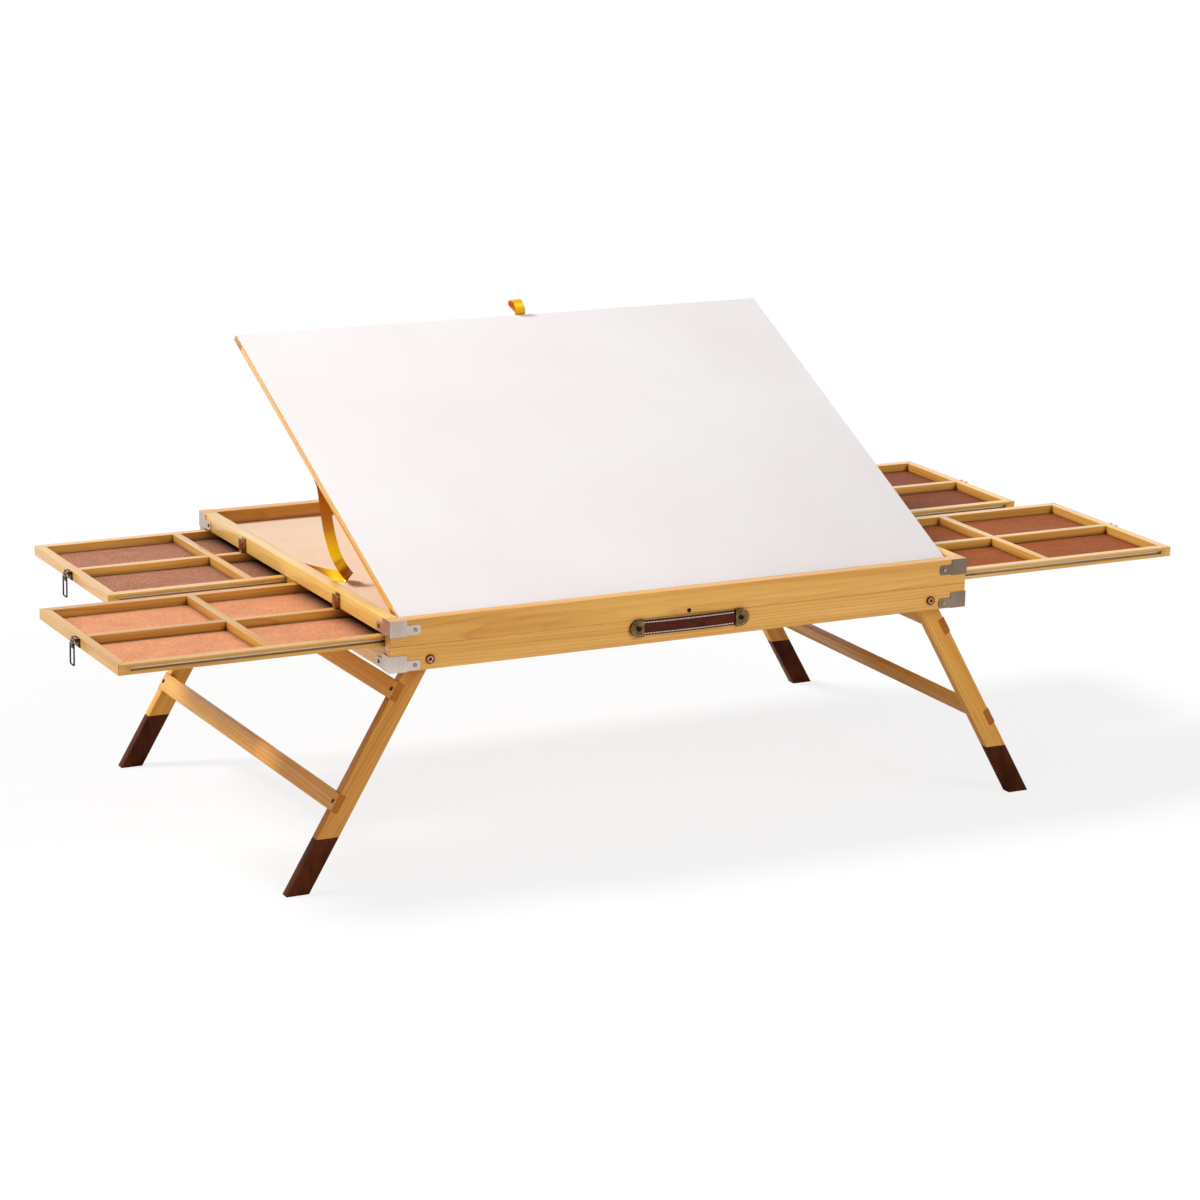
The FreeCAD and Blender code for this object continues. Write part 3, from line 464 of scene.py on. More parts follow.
def dress(name, node, finish, body, slot, eased=0, wanted=None, along=None):
    """Puts a finished copy in a solid's place. A piece of wood has its grain along a line."""
    piece = from_cad(name, node, eased, wanted)
    if along:
        run_grain(piece, along)
    hand_over(piece, finish, body, slot, node)


dress("drawer_runner_strips", "drawer_runners", bright_strip, "frame", "strip_metal", eased=0.3)

# Corner brackets: stamped and folded steel, an upper and a lower one at each corner,
# wide at the fold with a narrower tab, each held by slotted screws. The left ones, on the
# lamp's side, get a paler steel as painted light, and the right ones stay grey.
FOLD_H = 20
FOLD_X = 435.5
FOLD_Y = 330.5
FOLD_ROUND = 1.0
RIM_ANGLE = 60
RIM_EASED = 0.25


def rolled_steel(name, dark, light):
    """Zinc-plated sheet steel, brushed upright, duller in places."""
    made, tree, shader = new_finish(name, Metallic=1.0)
    where = table_place(tree)
    rolled = speckle(tree, where, (1500.0, 1500.0, 26.0), detail=3.0, roughness=0.6)
    dull = speckle(tree, where, (22.0, 22.0, 22.0))
    steel = banded(tree, dull, [(0.3, srgb(*dark)), (0.7, srgb(*light))])
    brushed = banded(tree, rolled, [(0.3, 0.84), (0.7, 1.0)])
    gloss = banded(tree, rolled, [(0.3, 0.3), (0.7, 0.42)])
    wire_up(tree, shader, mixed(tree, 1.0, steel, brushed, "MULTIPLY"), gloss)
    raise_surface(tree, shader, rolled, depth=0.02, strength=0.4)
    return made


grey_steel = rolled_steel("grey_steel", (122, 104, 90), (146, 128, 112))
# The paler copy is painted light, for the brackets on the lamp's side.
painted_lit_steel = rolled_steel("painted_lit_steel", (190, 172, 160), (222, 206, 196))


def on_fold(one, other):
    """The outer upright edge where a bracket is folded round the corner."""
    upright = abs(one.z - other.z) > FOLD_H
    return upright and abs(one.x) > FOLD_X and abs(one.y) > FOLD_Y


brackets = from_cad("corner_bracket_plates", "corner_brackets", FOLD_ROUND, on_fold)
bpy.ops.object.mode_set(mode="EDIT")
pick_sharp(RIM_ANGLE)
ease_picked(RIM_EASED)
bpy.ops.object.mode_set(mode="OBJECT")
smooth_below(PRESSED_ANGLE)
# Painted light: faces on the left side take the paler steel.
for face in brackets.data.polygons:
    face.material_index = int(face.center.x < 0)
hand_over(brackets, (grey_steel, painted_lit_steel), "frame", "grey_steel", "corner_brackets")

SCREW_CLOUDS = (500.0, 500.0, 500.0)
SLOT_FLOOR = 0.3
SIDE_FACE = 432.0
PARTITION_X = 10.0
dark_screw = dappled(
    "dark_screw",
    SCREW_CLOUDS,
    [(0.3, (26, 18, 13)), (0.7, (56, 42, 32))],
    [(0.3, 0.4), (0.7, 0.55)],
    detail=2.0,
    Metallic=1.0,
)
worn_screw = dappled(
    "worn_screw",
    SCREW_CLOUDS,
    [(0.3, (146, 130, 116)), (0.7, (190, 174, 160))],
    [(0.3, 0.3), (0.7, 0.44)],
    detail=2.0,
    Metallic=1.0,
)


def darken_slots(screws):
    """Marks the slot and the rim of every screw for the dark finish, as painted shade in
    those hollows, and the whole of those in the aprons' counterbores, painted as in shade."""
    screws.data.materials.clear()
    screws.data.materials.append(worn_screw)
    screws.data.materials.append(dark_screw)
    pick_none()
    screws.select_set(True)
    bpy.context.view_layer.objects.active = screws
    bpy.ops.object.mode_set(mode="EDIT")
    bpy.ops.mesh.select_all(action="SELECT")
    bpy.ops.mesh.separate(type="LOOSE")
    bpy.ops.object.mode_set(mode="OBJECT")
    loose = [screw for screw in bpy.context.selected_objects if screw != screws]
    for screw in [screws] + loose:
        points = [vertex.co / MM for vertex in screw.data.vertices]
        on_side = max(abs(point.x) for point in points) > SIDE_FACE
        axis = 0 if on_side else 1
        crown = max(abs(point[axis]) for point in points)
        recessed = abs(points[0].x) < PARTITION_X
        for face in screw.data.polygons:
            # Faces deep in a slot or round the rim of the head get painted shade.
            deep = crown - abs(face.center[axis]) / MM > SLOT_FLOOR
            face.material_index = int(deep or recessed)
    return join([screws] + loose)


screws = darken_slots(from_cad("bracket_and_partition_screws", "frame_screws"))
hand_over(screws, (worn_screw, dark_screw), "frame", "grey_steel", "frame_screws")

# Legs: two splayed pairs of pine, round at the pivot and cut level at the foot, with
# their tips dipped in dark brown paint. They fold in on bolts. The left front leg has
# darker tones than the others: painted shade from the drawer that stands out above it.
LEG_SPLAY = 30
LEG_EARLY = (246, 190, 102)
LEG_LATE = (208, 134, 50)
LEG_ENDS = (190, 154, 92)
PAINT_LINE = 72.5
PAINT_WAVER = 0.8
PIVOT = Vector((379.3, 0, 303.4))
HOLE_R = 6
ROUND_END_R = 13
ROUND_END_Z = 295
SHORT_EDGE = 2.5
LONG_EDGE = 8
leg_pine = pine_finish("leg_pine", LEG_EARLY, LEG_LATE, lacquer=0.2, soak=LEG_ENDS)


def dipped(name, early, late):
    """Pine with its foot in brown paint, up to a line that wavers a little."""
    made, tree, shader = new_finish(name, Specular_IOR_Level=0.1)
    colour, fibre, latewood = pine_grain(tree, early, late, LEG_ENDS)
    where = table_place(tree)
    height = put(tree, "SeparateXYZ", {0: where}).outputs["Z"]
    waver = speckle(tree, where, (160.0, 160.0, 30.0))
    middle_line = PAINT_LINE - PAINT_WAVER / 2
    line = sums(tree, "MULTIPLY_ADD", waver, PAINT_WAVER * MM, middle_line * MM)
    painted = sums(tree, "LESS_THAN", height, line)
    brush = speckle(tree, where, (90.0, 90.0, 25.0), detail=3.0)
    paint = banded(tree, brush, [(0.3, srgb(58, 20, 0)), (0.7, srgb(90, 40, 8))])
    foot = mixed(tree, painted, colour, paint)
    gloss = [(0.25, 0.36), (0.75, 0.5)]
    lay_grain(tree, shader, foot, fibre, latewood, gloss, strength=0.6)
    return made


dipped_pine = dipped("dipped_pine", LEG_EARLY, LEG_LATE)
shaded_dipped_pine = dipped("shaded_dipped_pine", (222, 162, 84), (160, 94, 34))


def off_hole(one, other):
    """Any edge of a leg, apart from the rims of its bolt and screw holes."""
    middle = (one + other) / 2
    off_pivot = math.hypot(abs(middle.x) - PIVOT.x, middle.z - PIVOT.z)
    short = (one - other).length < SHORT_EDGE
    on_round_end = off_pivot > ROUND_END_R and middle.z > ROUND_END_Z
    return off_pivot >= HOLE_R and (not short or on_round_end)


def long_edge(one, other):
    """Any edge that is longer than the rims of holes and the steps of curves."""
    return (one - other).length > LONG_EDGE


for side, hand in (("left", -1), ("right", 1)):
    tilt = math.radians(LEG_SPLAY)
    down = (hand * math.sin(tilt), 0, -math.cos(tilt))
    body = side + "_legs"
    for end in ("front", "rear"):
        node = f"{side}_{end}_leg"
        # The left front leg takes darker tones as painted shade.
        wood = shaded_dipped_pine if node == "left_front_leg" else dipped_pine
        dress(node + "_wood", node, wood, body, "pine", EASED_EDGE, off_hole, down)
    bars, screws = side + "_stretchers", side + "_stretcher_screws"
    name = side + "_stretcher_bars"
    dress(name, bars, leg_pine, body, "pine", EASED_EDGE, long_edge, along=(0, 1, 0))
    dress(side + "_stretcher_screw_set", screws, dark_screw, body, "bronze")

# Leg bolts and stop blocks: flanged socket bolts of bronzed steel, whose dish round the
# socket is painted paler as a highlight, go through the aprons into the legs. Pine blocks
# behind the aprons stop the legs at their splay.
BOLT_FACE = 332.6
DISH_RIM = 0.1
DISH_DEPTH = 0.75


def plated(name, *tones):
    """Bronze plating on steel, from its dark tone to the pale one where it is worn."""
    bands = zip((0.3, 0.55, 0.8), tones)
    gloss = [(0.3, 0.42), (0.7, 0.26)]
    return dappled(name, (330.0, 330.0, 330.0), bands, gloss, rough=0.65, Metallic=1.0)


# The paler bronze is the painted highlight on the upward faces of the latches and catches.
top_highlight_bronze = plated("top_highlight_bronze", (132, 104, 76), (184, 158, 124), (226, 206, 176))
dark_bronze = plated("dark_bronze", (30, 17, 9), (58, 37, 21), (132, 100, 64))
bolt_bronze = plated("bolt_bronze", (62, 22, 8), (92, 40, 18), (150, 92, 56))
dish_highlight_bronze = plated("dish_highlight_bronze", (150, 104, 72), (196, 150, 116), (232, 200, 170))
bolts = from_cad("leg_bolt_set", "leg_bolts")
# Painted highlight: the faces of the dish take the paler bronze.
for face in bolts.data.polygons:
    depth = BOLT_FACE - abs(face.center.y) / MM
    face.material_index = int(DISH_RIM < depth < DISH_DEPTH)
hand_over(bolts, (bolt_bronze, dish_highlight_bronze), "frame", "bronze", "leg_bolts")
stops = "leg_stop_blocks"
dress("leg_stop_block_set", stops, box_pine, "frame", "pine", EASED_EDGE, along=(1, 0, 0))

# Handle: a flat strap of brown leather, saddle stitched in white along both edges
# and slightly bowed. Its ends are held under two cast caps of antique brass, each
# with a sunk face and a dark socket screw.
STRAP_T = 3.4
STRAP_BOW = 2.0
STRAP_CROWN = 0.3
STRAP_EDGE_DROP = 0.35
STRAP_BACK_GAP = 0.4
STRAP_ROUND = 0.9
STRAP_ANGLE = 50
CAP_EDGE = 69.5
low, high = extent("handle_strap")
strap_mid = (low.z + high.z) / 2
strap_half = (high.z - low.z) / 2
bow_radius = (CAP_EDGE**2 + STRAP_BOW**2) / (2 * STRAP_BOW)


def strap_bow(x):
    """How far the strap stands off the apron, at a distance from its middle."""
    if abs(x) > CAP_EDGE:
        return 0.0
    return math.sqrt(bow_radius**2 - x**2) - bow_radius + STRAP_BOW


pick_none()
bpy.ops.mesh.primitive_grid_add(x_subdivisions=60, y_subdivisions=12, size=2)
strap = bpy.context.active_object
strap.name = strap.data.name = "leather_strap"
for vertex in strap.data.vertices:
    x = vertex.co.x * high.x
    across = vertex.co.y
    crown = STRAP_CROWN * (1 - across**4)
    face = high.y - STRAP_T + STRAP_EDGE_DROP - crown - strap_bow(x)
    vertex.co = Vector((x, face, strap_mid + across * strap_half)) * MM
wall = strap.modifiers.new("thickness", "SOLIDIFY")
wall.thickness = (STRAP_T - STRAP_BACK_GAP) * MM
wall.offset = -1
rounded = strap.modifiers.new("rounded", "BEVEL")
rounded.width = STRAP_ROUND * MM
rounded.segments = 3
bpy.context.view_layer.objects.active = strap
for modifier in ("thickness", "rounded"):
    bpy.ops.object.modifier_apply(modifier=modifier)
smooth_below(STRAP_ANGLE)
leather, tree, shader = new_finish("brown_leather", Specular_IOR_Level=0.1)
where = table_place(tree)
pores = put(tree, "TexVoronoi", {"Vector": where, "Scale": 900.0}, feature="DISTANCE_TO_EDGE")
crease = speckle(tree, where, (60.0, 300.0, 300.0), detail=3.0, roughness=0.6)
hide = banded(tree, crease, [(0.3, srgb(58, 20, 10)), (0.72, srgb(94, 40, 24))])
wire_up(tree, shader, hide, banded(tree, crease, [(0.3, 0.5), (0.7, 0.66)]))
pebble = banded(tree, pores.outputs["Distance"], [(0.0, 0.0), (0.18, 1.0)])
raise_surface(tree, shader, pebble, depth=0.12, strength=0.6)
hand_over(strap, leather, "frame", "leather", "handle_strap")

STITCH_IN = 2.7
STITCH_PITCH = 4.0
STITCH_LENGTH = 2.0
STITCH_HALF = 0.75
STITCH_T = 0.8
STITCH_EASED = 0.25
STITCH_PROUD = 0.48
STITCH_OFF_CAP = 1.5
stitch_rows = []
count = int(2 * (CAP_EDGE - STITCH_OFF_CAP) / STITCH_PITCH)
for edge in (-1, 1):
    row_z = strap_mid + edge * (strap_half - STITCH_IN)
    start = -count * STITCH_PITCH / 2
    stitch_low = (start, 0, row_z - STITCH_HALF)
    stitch_high = (start + STITCH_LENGTH, STITCH_T, row_z + STITCH_HALF)
    stitch = plank("stitching_%d" % edge, stitch_low, stitch_high, STITCH_EASED)
    repeat = stitch.modifiers.new("row", "ARRAY")
    repeat.use_relative_offset = False
    repeat.use_constant_offset = True
    repeat.constant_offset_displace = (STITCH_PITCH * MM, 0, 0)
    repeat.count = count
    bpy.ops.object.modifier_apply(modifier="row")
    for vertex in stitch.data.vertices:
        lift = strap_bow(vertex.co.x / MM) + STRAP_T - STRAP_EDGE_DROP
        vertex.co.y += (high.y - lift - STITCH_PROUD) * MM
    stitch_rows.append(stitch)
thread, tree, shader = new_finish("white_thread", Roughness=0.7, Sheen_Weight=0.2)
twist = speckle(tree, table_place(tree), (2600.0, 2600.0, 1400.0))
flax = banded(tree, twist, [(0.3, srgb(248, 238, 230)), (0.7, srgb(255, 252, 248))])
wire_up(tree, shader, flax)
raise_surface(tree, shader, twist, depth=0.08, strength=0.6)
stitching = join(stitch_rows)
stitching.name = "handle_stitching"
hand_over(stitching, thread, "frame", "leather")

CAP_RIM = 1.7
CAP_SINK = 0.8
CAP_SLOPE = 0.45
CAP_SLACK = 0.01
CAP_EASED = 0.5
CAP_SHARP = 50
CAST_ANGLE = 40
# The facing range of the cap's sloping rim faces, which get a painted highlight.
HIGHLIGHT_FROM = -0.95
HIGHLIGHT_TO = -0.2
low, high = extent("handle_caps")
cap_r = (high.z - low.z) / 2
cap_nose = high.x - cap_r
pick_none()
bpy.ops.mesh.primitive_circle_add(vertices=64, radius=cap_r * MM, fill_type="NGON")
cap = bpy.context.active_object
cap.name = cap.data.name = "handle_cap_pair"
for vertex in cap.data.vertices:
    spot = vertex.co / MM
    x = cap_nose + spot.x if spot.x > -CAP_SLACK else CAP_EDGE
    vertex.co = Vector((x, high.y, (low.z + high.z) / 2 + spot.y)) * MM
bpy.ops.object.mode_set(mode="EDIT")
bpy.ops.mesh.select_all(action="SELECT")
depth = (low.y - high.y + CAP_SLACK) * MM
bpy.ops.mesh.extrude_region_move(TRANSFORM_OT_translate={"value": (0, depth, 0)})
bpy.ops.mesh.inset(thickness=CAP_RIM * MM)
bpy.ops.mesh.inset(thickness=CAP_SLOPE * MM, depth=-CAP_SINK * MM)
bpy.ops.mesh.select_all(action="SELECT")
bpy.ops.mesh.normals_make_consistent(inside=False)
bpy.ops.mesh.select_mode(type="EDGE")
pick_sharp(CAP_SHARP)
ease_picked(CAP_EASED, segments=3)
bpy.ops.object.mode_set(mode="OBJECT")
smooth_below(CAST_ANGLE)


def cast_brass(name, *tones):
    """Tarnished brass, from its dark tone to the pale one where it is rubbed."""
    clouds = (160.0, 160.0, 160.0)
    bands = zip((0.3, 0.55, 0.8), tones)
    gloss = [(0.3, 0.46), (0.7, 0.28)]
    return dappled(name, clouds, bands, gloss, detail=4.0, rough=0.65, depth=0.06, Metallic=1.0)


brass = cast_brass("antique_brass", (80, 62, 38), (114, 92, 58), (152, 128, 88))
rim_highlight_brass = cast_brass("rim_highlight_brass", (150, 126, 84), (196, 172, 124), (232, 212, 168))
cap.data.materials.append(brass)
cap.data.materials.append(rim_highlight_brass)
# The sloping rim faces take the paler brass as a painted highlight.
for face in cap.data.polygons:
    face.material_index = int(HIGHLIGHT_FROM < face.normal.y < HIGHLIGHT_TO)
far_cap = cap.copy()
far_cap.data = cap.data.copy()
bpy.context.collection.objects.link(far_cap)
far_cap.data.transform(Matrix.Scale(-1, 4, (1, 0, 0)))
far_cap.data.flip_normals()
hand_over(join([cap, far_cap]), (brass, rim_highlight_brass), "frame", "antique_brass", "handle_caps")
CAP_SCREW_R = 3.3
CAP_SCREW_T = 2.4
CAP_SCREW_EASED = 0.3
SOCKET_WALL = 1.0
SOCKET_SLOPE = 0.15
SOCKET_SINK = 0.9
FRONT_FACING = -0.99
FEWEST_SIDES = 20
low, high = extent("handle_screws")
screw_x = cap_nose - CAP_SCREW_R / 6
screws = []
for hand in (-1, 1):
    pick_none()
    bpy.ops.mesh.primitive_cylinder_add(
        vertices=36,
        radius=CAP_SCREW_R * MM,
        depth=CAP_SCREW_T * MM,
        location=Vector((hand * screw_x, low.y + CAP_SCREW_T / 2, (low.z + high.z) / 2)) * MM,
        rotation=(math.pi / 2, 0, 0),
    )
    bpy.ops.object.transform_apply(location=True, rotation=True, scale=True)
    screw = bpy.context.active_object
    screw.name = screw.data.name = "handle_cap_screws"
    bpy.ops.object.mode_set(mode="EDIT")
    bpy.ops.mesh.select_all(action="SELECT")
    bpy.ops.mesh.bevel(offset=CAP_SCREW_EASED * MM, segments=2, affect="EDGES")
    bpy.ops.mesh.select_all(action="DESELECT")
    open_mesh = bmesh.from_edit_mesh(screw.data)
    for face in open_mesh.faces:
        face.select_set(face.normal.y < FRONT_FACING and len(face.verts) > FEWEST_SIDES)
    bmesh.update_edit_mesh(screw.data)
    bpy.ops.mesh.inset(thickness=SOCKET_WALL * MM)
    bpy.ops.mesh.inset(thickness=SOCKET_SLOPE * MM, depth=-SOCKET_SINK * MM)
    bpy.ops.object.mode_set(mode="OBJECT")
    smooth_below(CAST_ANGLE)
    screws.append(screw)
hand_over(join(screws), dark_screw, "frame", "antique_brass", "handle_screws")

# Drawers: four shallow sorting trays, each a pine frame with crossed dividers on a
# hardboard bottom. A groove along both sides, lined with metal, hangs on a runner.
# The front left tray is of darker wood, and every bottom has a brown of its own.
DRAWER_WALL = 13
DIVIDER_T = 12
BOTTOM_T = 2.4
TRAY_EASED = 0.6
GROOVE_START = 16
GROOVE_DEPTH = 5
GROOVE_H = 4.6
SAW_OVERRUN = 1
# How far painted shade reaches across the tray bottoms, in mm, and how dark it gets there.
SHADE_REACH = 42.0
SHADE_LEAST = 0.12
STRIP_SHARE = 0.58
STRIP_LIFT = 0.5
tray_pine = pine_finish("tray_pine", (244, 194, 96), (208, 140, 48))
dark_tray_pine = pine_finish("dark_tray_pine", (226, 174, 86), (184, 118, 40), lacquer=0.5)


def hardboard(name, dark, light):
    """Pressed fibreboard: a mat of short fibres, darker and paler."""
    made, tree, shader = new_finish(name, Roughness=0.66, Specular_IOR_Level=0.15)
    where = table_place(tree)
    mat = speckle(tree, where, (260.0, 420.0, 300.0), detail=4.0, roughness=0.7)
    cloud = speckle(tree, where, (28.0, 40.0, 30.0), detail=3.0, roughness=0.6)
    colour = banded(tree, mat, [(0.3, srgb(*dark)), (0.7, srgb(*light))])
    stain = banded(tree, cloud, [(0.3, 0.84), (0.68, 1.0)])
    colour = mixed(tree, 1.0, colour, stain, "MULTIPLY")
    # Painted shade darkens each bottom towards its walls and under the side rails.
    wire_up(tree, shader, paint_corner_shade(tree, colour, SHADE_REACH, SHADE_LEAST))
    raise_surface(tree, shader, mat, depth=0.12, strength=0.6)
    return made


salmon_board = hardboard("salmon_hardboard", (204, 126, 86), (244, 176, 132))
umber_board = hardboard("umber_hardboard", (134, 84, 62), (206, 146, 116))
russet_board = hardboard("russet_hardboard", (122, 60, 28), (178, 100, 54))
chestnut_board = hardboard("chestnut_hardboard", (104, 52, 32), (154, 88, 60))


def mitred(name, low, high, along, inner):
    """A tray wall between two corners. Its ends are sawn to 45 degrees, towards the
    side of the tray's inner space, which is given as a point."""
    stick = plank(name, low, high, 0)
    across = 1 - along
    middle = (low[along] + high[along]) / 2
    for vertex in stick.data.vertices:
        spot = vertex.co / MM
        outer = low[across] if inner[across] > (low[across] + high[across]) / 2 else high[across]
        if abs(spot[across] - outer) > DRAWER_WALL / 2:
            vertex.co[along] += math.copysign(DRAWER_WALL, middle - spot[along]) * MM
    ease_edges(TRAY_EASED)
    smooth_below(STICK_ANGLE)
    return stick


for place, stick_finish, bottom_finish in (
    ("front_left", dark_tray_pine, salmon_board),
    ("rear_left", tray_pine, umber_board),
    ("front_right", tray_pine, russet_board),
    ("rear_right", tray_pine, chestnut_board),
):
    body = place + "_drawer"
    low, high = extent(body + "_frame")
    inner_low = low + Vector((DRAWER_WALL, DRAWER_WALL, BOTTOM_T))
    inner_high = high - Vector((DRAWER_WALL, DRAWER_WALL, 0))
    middle = (low + high) / 2
    half = DIVIDER_T / 2
    near = low, (high.x, inner_low.y, high.z)
    far = (low.x, inner_high.y, low.z), high
    left_end = low, (inner_low.x, high.y, high.z)
    right_end = (inner_high.x, low.y, low.z), high
    cross = (middle.x - half, inner_low.y, inner_low.z), (middle.x + half, inner_high.y, high.z)
    left_rib = inner_low.x, middle.x - half
    right_rib = middle.x + half, inner_high.x
    sticks = []
    for corners, along in ((near, 0), (far, 0), (left_end, 1), (right_end, 1)):
        sticks.append(mitred(body + "_sticks", *corners, along, middle))
    sticks.append(plank(body + "_cross", *cross, TRAY_EASED))
    for x0, x1 in (left_rib, right_rib):
        rib_low = (x0, middle.y - half, inner_low.z)
        rib_high = (x1, middle.y + half, high.z)
        sticks.append(plank(body + "_rib", rib_low, rib_high, TRAY_EASED))
    slot_z = middle.z - GROOVE_H / 2, middle.z + GROOVE_H / 2
    if place.endswith("left"):
        slot_x = low.x + GROOVE_START, high.x + SAW_OVERRUN
        inner_end = sticks[3]
    else:
        slot_x = low.x - SAW_OVERRUN, high.x - GROOVE_START
        inner_end = sticks[2]
    for slot_y, cut_sticks in (
        ((low.y - SAW_OVERRUN, low.y + GROOVE_DEPTH), (sticks[0], inner_end)),
        ((high.y - GROOVE_DEPTH, high.y + SAW_OVERRUN), (sticks[1], inner_end)),
    ):
        slot_corners = list(zip(slot_x, slot_y, slot_z))
        for stick in cut_sticks:
            cut_away(stick, plank("saw", *slot_corners, eased=0))
    for stick in sticks:
        run_grain(stick, (0, 1, 0) if stick in sticks[2:5] else (1, 0, 0))
    hand_over(join(sticks), stick_finish, body, "pine", body + "_frame")
    tray_floor = plank(body + "_floor", *extent(body + "_bottom"), PANEL_EASED)
    hand_over(tray_floor, bottom_finish, body, "red_hardboard", body + "_bottom")
    strips = from_cad(body + "_strips", body + "_slides", eased=0.25)
    for vertex in strips.data.vertices:
        off_middle = vertex.co.z - middle.z * MM
        vertex.co.z = (middle.z + STRIP_LIFT) * MM + off_middle * STRIP_SHARE
    hand_over(strips, bright_strip, body, "strip_metal", body + "_slides")

# Drawer latches: on each drawer a bronzed plate with two ears, a lever on a pin
# and a wire bail in the lever's knuckle. It hooks over a catch pressed into the rail.
WIRE_R = 1.1
BAIL_CORNER = 2.2
BAIL_GAP = 4.2
BAIL_KNEE = 3
BAIL_PULL = 0.3
WIRE_ANGLE = 50
PRESSED_EASED = 0.25
LEVER_EASED = 0.2
TOP_HIGHLIGHT_SLOPE = 0.6


def paint_top_highlight(piece):
    """Marks the faces that look up for the paler bronze: a painted highlight where light from
    above falls on them.
    """
    for face in piece.data.polygons:
        face.material_index = int(face.normal.z > TOP_HIGHLIGHT_SLOPE)
    return piece


for place in ("front_left", "rear_left", "front_right", "rear_right"):
    latch = place + "_drawer_latch"
    # The upward faces of plate and lever take the paler bronze as a painted highlight.
    plate = paint_top_highlight(from_cad(latch + "_ears", latch + "_plate", PRESSED_EASED))
    hand_over(plate, (dark_bronze, top_highlight_bronze), place + "_drawer", "bronze", latch + "_plate")
    lever = paint_top_highlight(from_cad(latch + "_toggle", latch + "_lever", LEVER_EASED, long_edge))
    hand_over(lever, (dark_bronze, top_highlight_bronze), place + "_lever", "bronze", latch + "_lever")
    low, high = extent(latch + "_bail")
    x = (low.x + high.x) / 2
    left, right = low.y + WIRE_R, high.y - WIRE_R
    top, bottom = high.z - WIRE_R, low.z + WIRE_R
    reach = (right - left) / 2 - BAIL_GAP
    route = [
        (left + reach, top),
        (left + reach / 2, top),
        (left, top),
        (left, top - BAIL_KNEE),
        (left, bottom + BAIL_CORNER),
        (left + BAIL_PULL, bottom + BAIL_PULL),
        (left + BAIL_CORNER, bottom),
        (right - BAIL_CORNER, bottom),
        (right - BAIL_PULL, bottom + BAIL_PULL),
        (right, bottom + BAIL_CORNER),
        (right, top - BAIL_KNEE),
        (right, top),
        (right - reach / 2, top),
        (right - reach, top),
    ]
    pick_none()
    bpy.ops.curve.primitive_nurbs_path_add()
    wire = bpy.context.active_object
    wire.name = latch + "_wire"
    spline = wire.data.splines[0]
    spline.points.add(len(route) - len(spline.points))
    for point, (y, z) in zip(spline.points, route):
        point.co = (x * MM, y * MM, z * MM, 1.0)
    spline.order_u = 3
    spline.use_endpoint_u = True
    spline.resolution_u = 6
    wire.data.bevel_depth = WIRE_R * MM
    wire.data.bevel_resolution = 4
    wire.data.use_fill_caps = True
    bpy.ops.object.convert(target="MESH")
    smooth_below(WIRE_ANGLE)
    hand_over(wire, dark_bronze, place + "_bail", "bronze", latch + "_bail")
catch_bronze = plated("catch_bronze", (112, 76, 42), (180, 134, 82), (238, 212, 168))
# The catches' upward faces take the paler bronze as a painted highlight.
catches = paint_top_highlight(from_cad("catch_hooks", "latch_catches", PRESSED_EASED))
hand_over(catches, (catch_bronze, top_highlight_bronze), "frame", "bronze", "latch_catches")

# Tilting board: a frame of four pine rails round a thin panel, with a smooth white
# sheet glued on top. It turns on two steel pins near its front edge.
BOARD_TILT = 26.1
HINGE = Vector((0, -303.8, 352.5))
BOARD_LOW = Vector((-415, -308.8, 348.5))
BOARD_HIGH = Vector((415, 308.8, 358.5))
BOARD_RAIL_W = 26
BOARD_EASED = 0.6
SHEET_T = 2
SHEET_BORDER = 2
SHEET_EASED = 0.4
INFILL_T = 3
tip_up = (
    Matrix.Translation(HINGE * MM)
    @ Matrix.Rotation(math.radians(BOARD_TILT), 4, "X")
    @ Matrix.Translation(-HINGE * MM)
)
board_pine = pine_finish("board_pine", (252, 194, 94), (222, 148, 56))
inside_low = BOARD_LOW + Vector((BOARD_RAIL_W, BOARD_RAIL_W, 0))
inside_high = BOARD_HIGH - Vector((BOARD_RAIL_W, BOARD_RAIL_W, SHEET_T))
rail_high = BOARD_HIGH - Vector((0, 0, SHEET_T))
left_rail_high = (inside_low.x, inside_high.y, rail_high.z)
right_rail_low = (inside_high.x, inside_low.y, BOARD_LOW.z)
rails = []
for corners, along in (
    ((BOARD_LOW, (BOARD_HIGH.x, inside_low.y, rail_high.z)), (1, 0, 0)),
    (((BOARD_LOW.x, inside_high.y, BOARD_LOW.z), rail_high), (1, 0, 0)),
    (((BOARD_LOW.x, inside_low.y, BOARD_LOW.z), left_rail_high), (0, 1, 0)),
    ((right_rail_low, (BOARD_HIGH.x, inside_high.y, rail_high.z)), (0, 1, 0)),
):
    rail = plank("board_frame_rails", *corners, BOARD_EASED)
    run_grain(rail, along)
    rails.append(rail)
board_frame = join(rails)
board_frame.data.transform(tip_up)
hand_over(board_frame, board_pine, "board", "pine", "board_rails")
infill_low = Vector((inside_low.x, inside_low.y, rail_high.z - INFILL_T))
infill = plank("board_panel", infill_low, (inside_high.x, inside_high.y, rail_high.z), eased=0)
infill.data.transform(tip_up)
hand_over(infill, fibreboard, "board", "floor_ply", "board_infill")

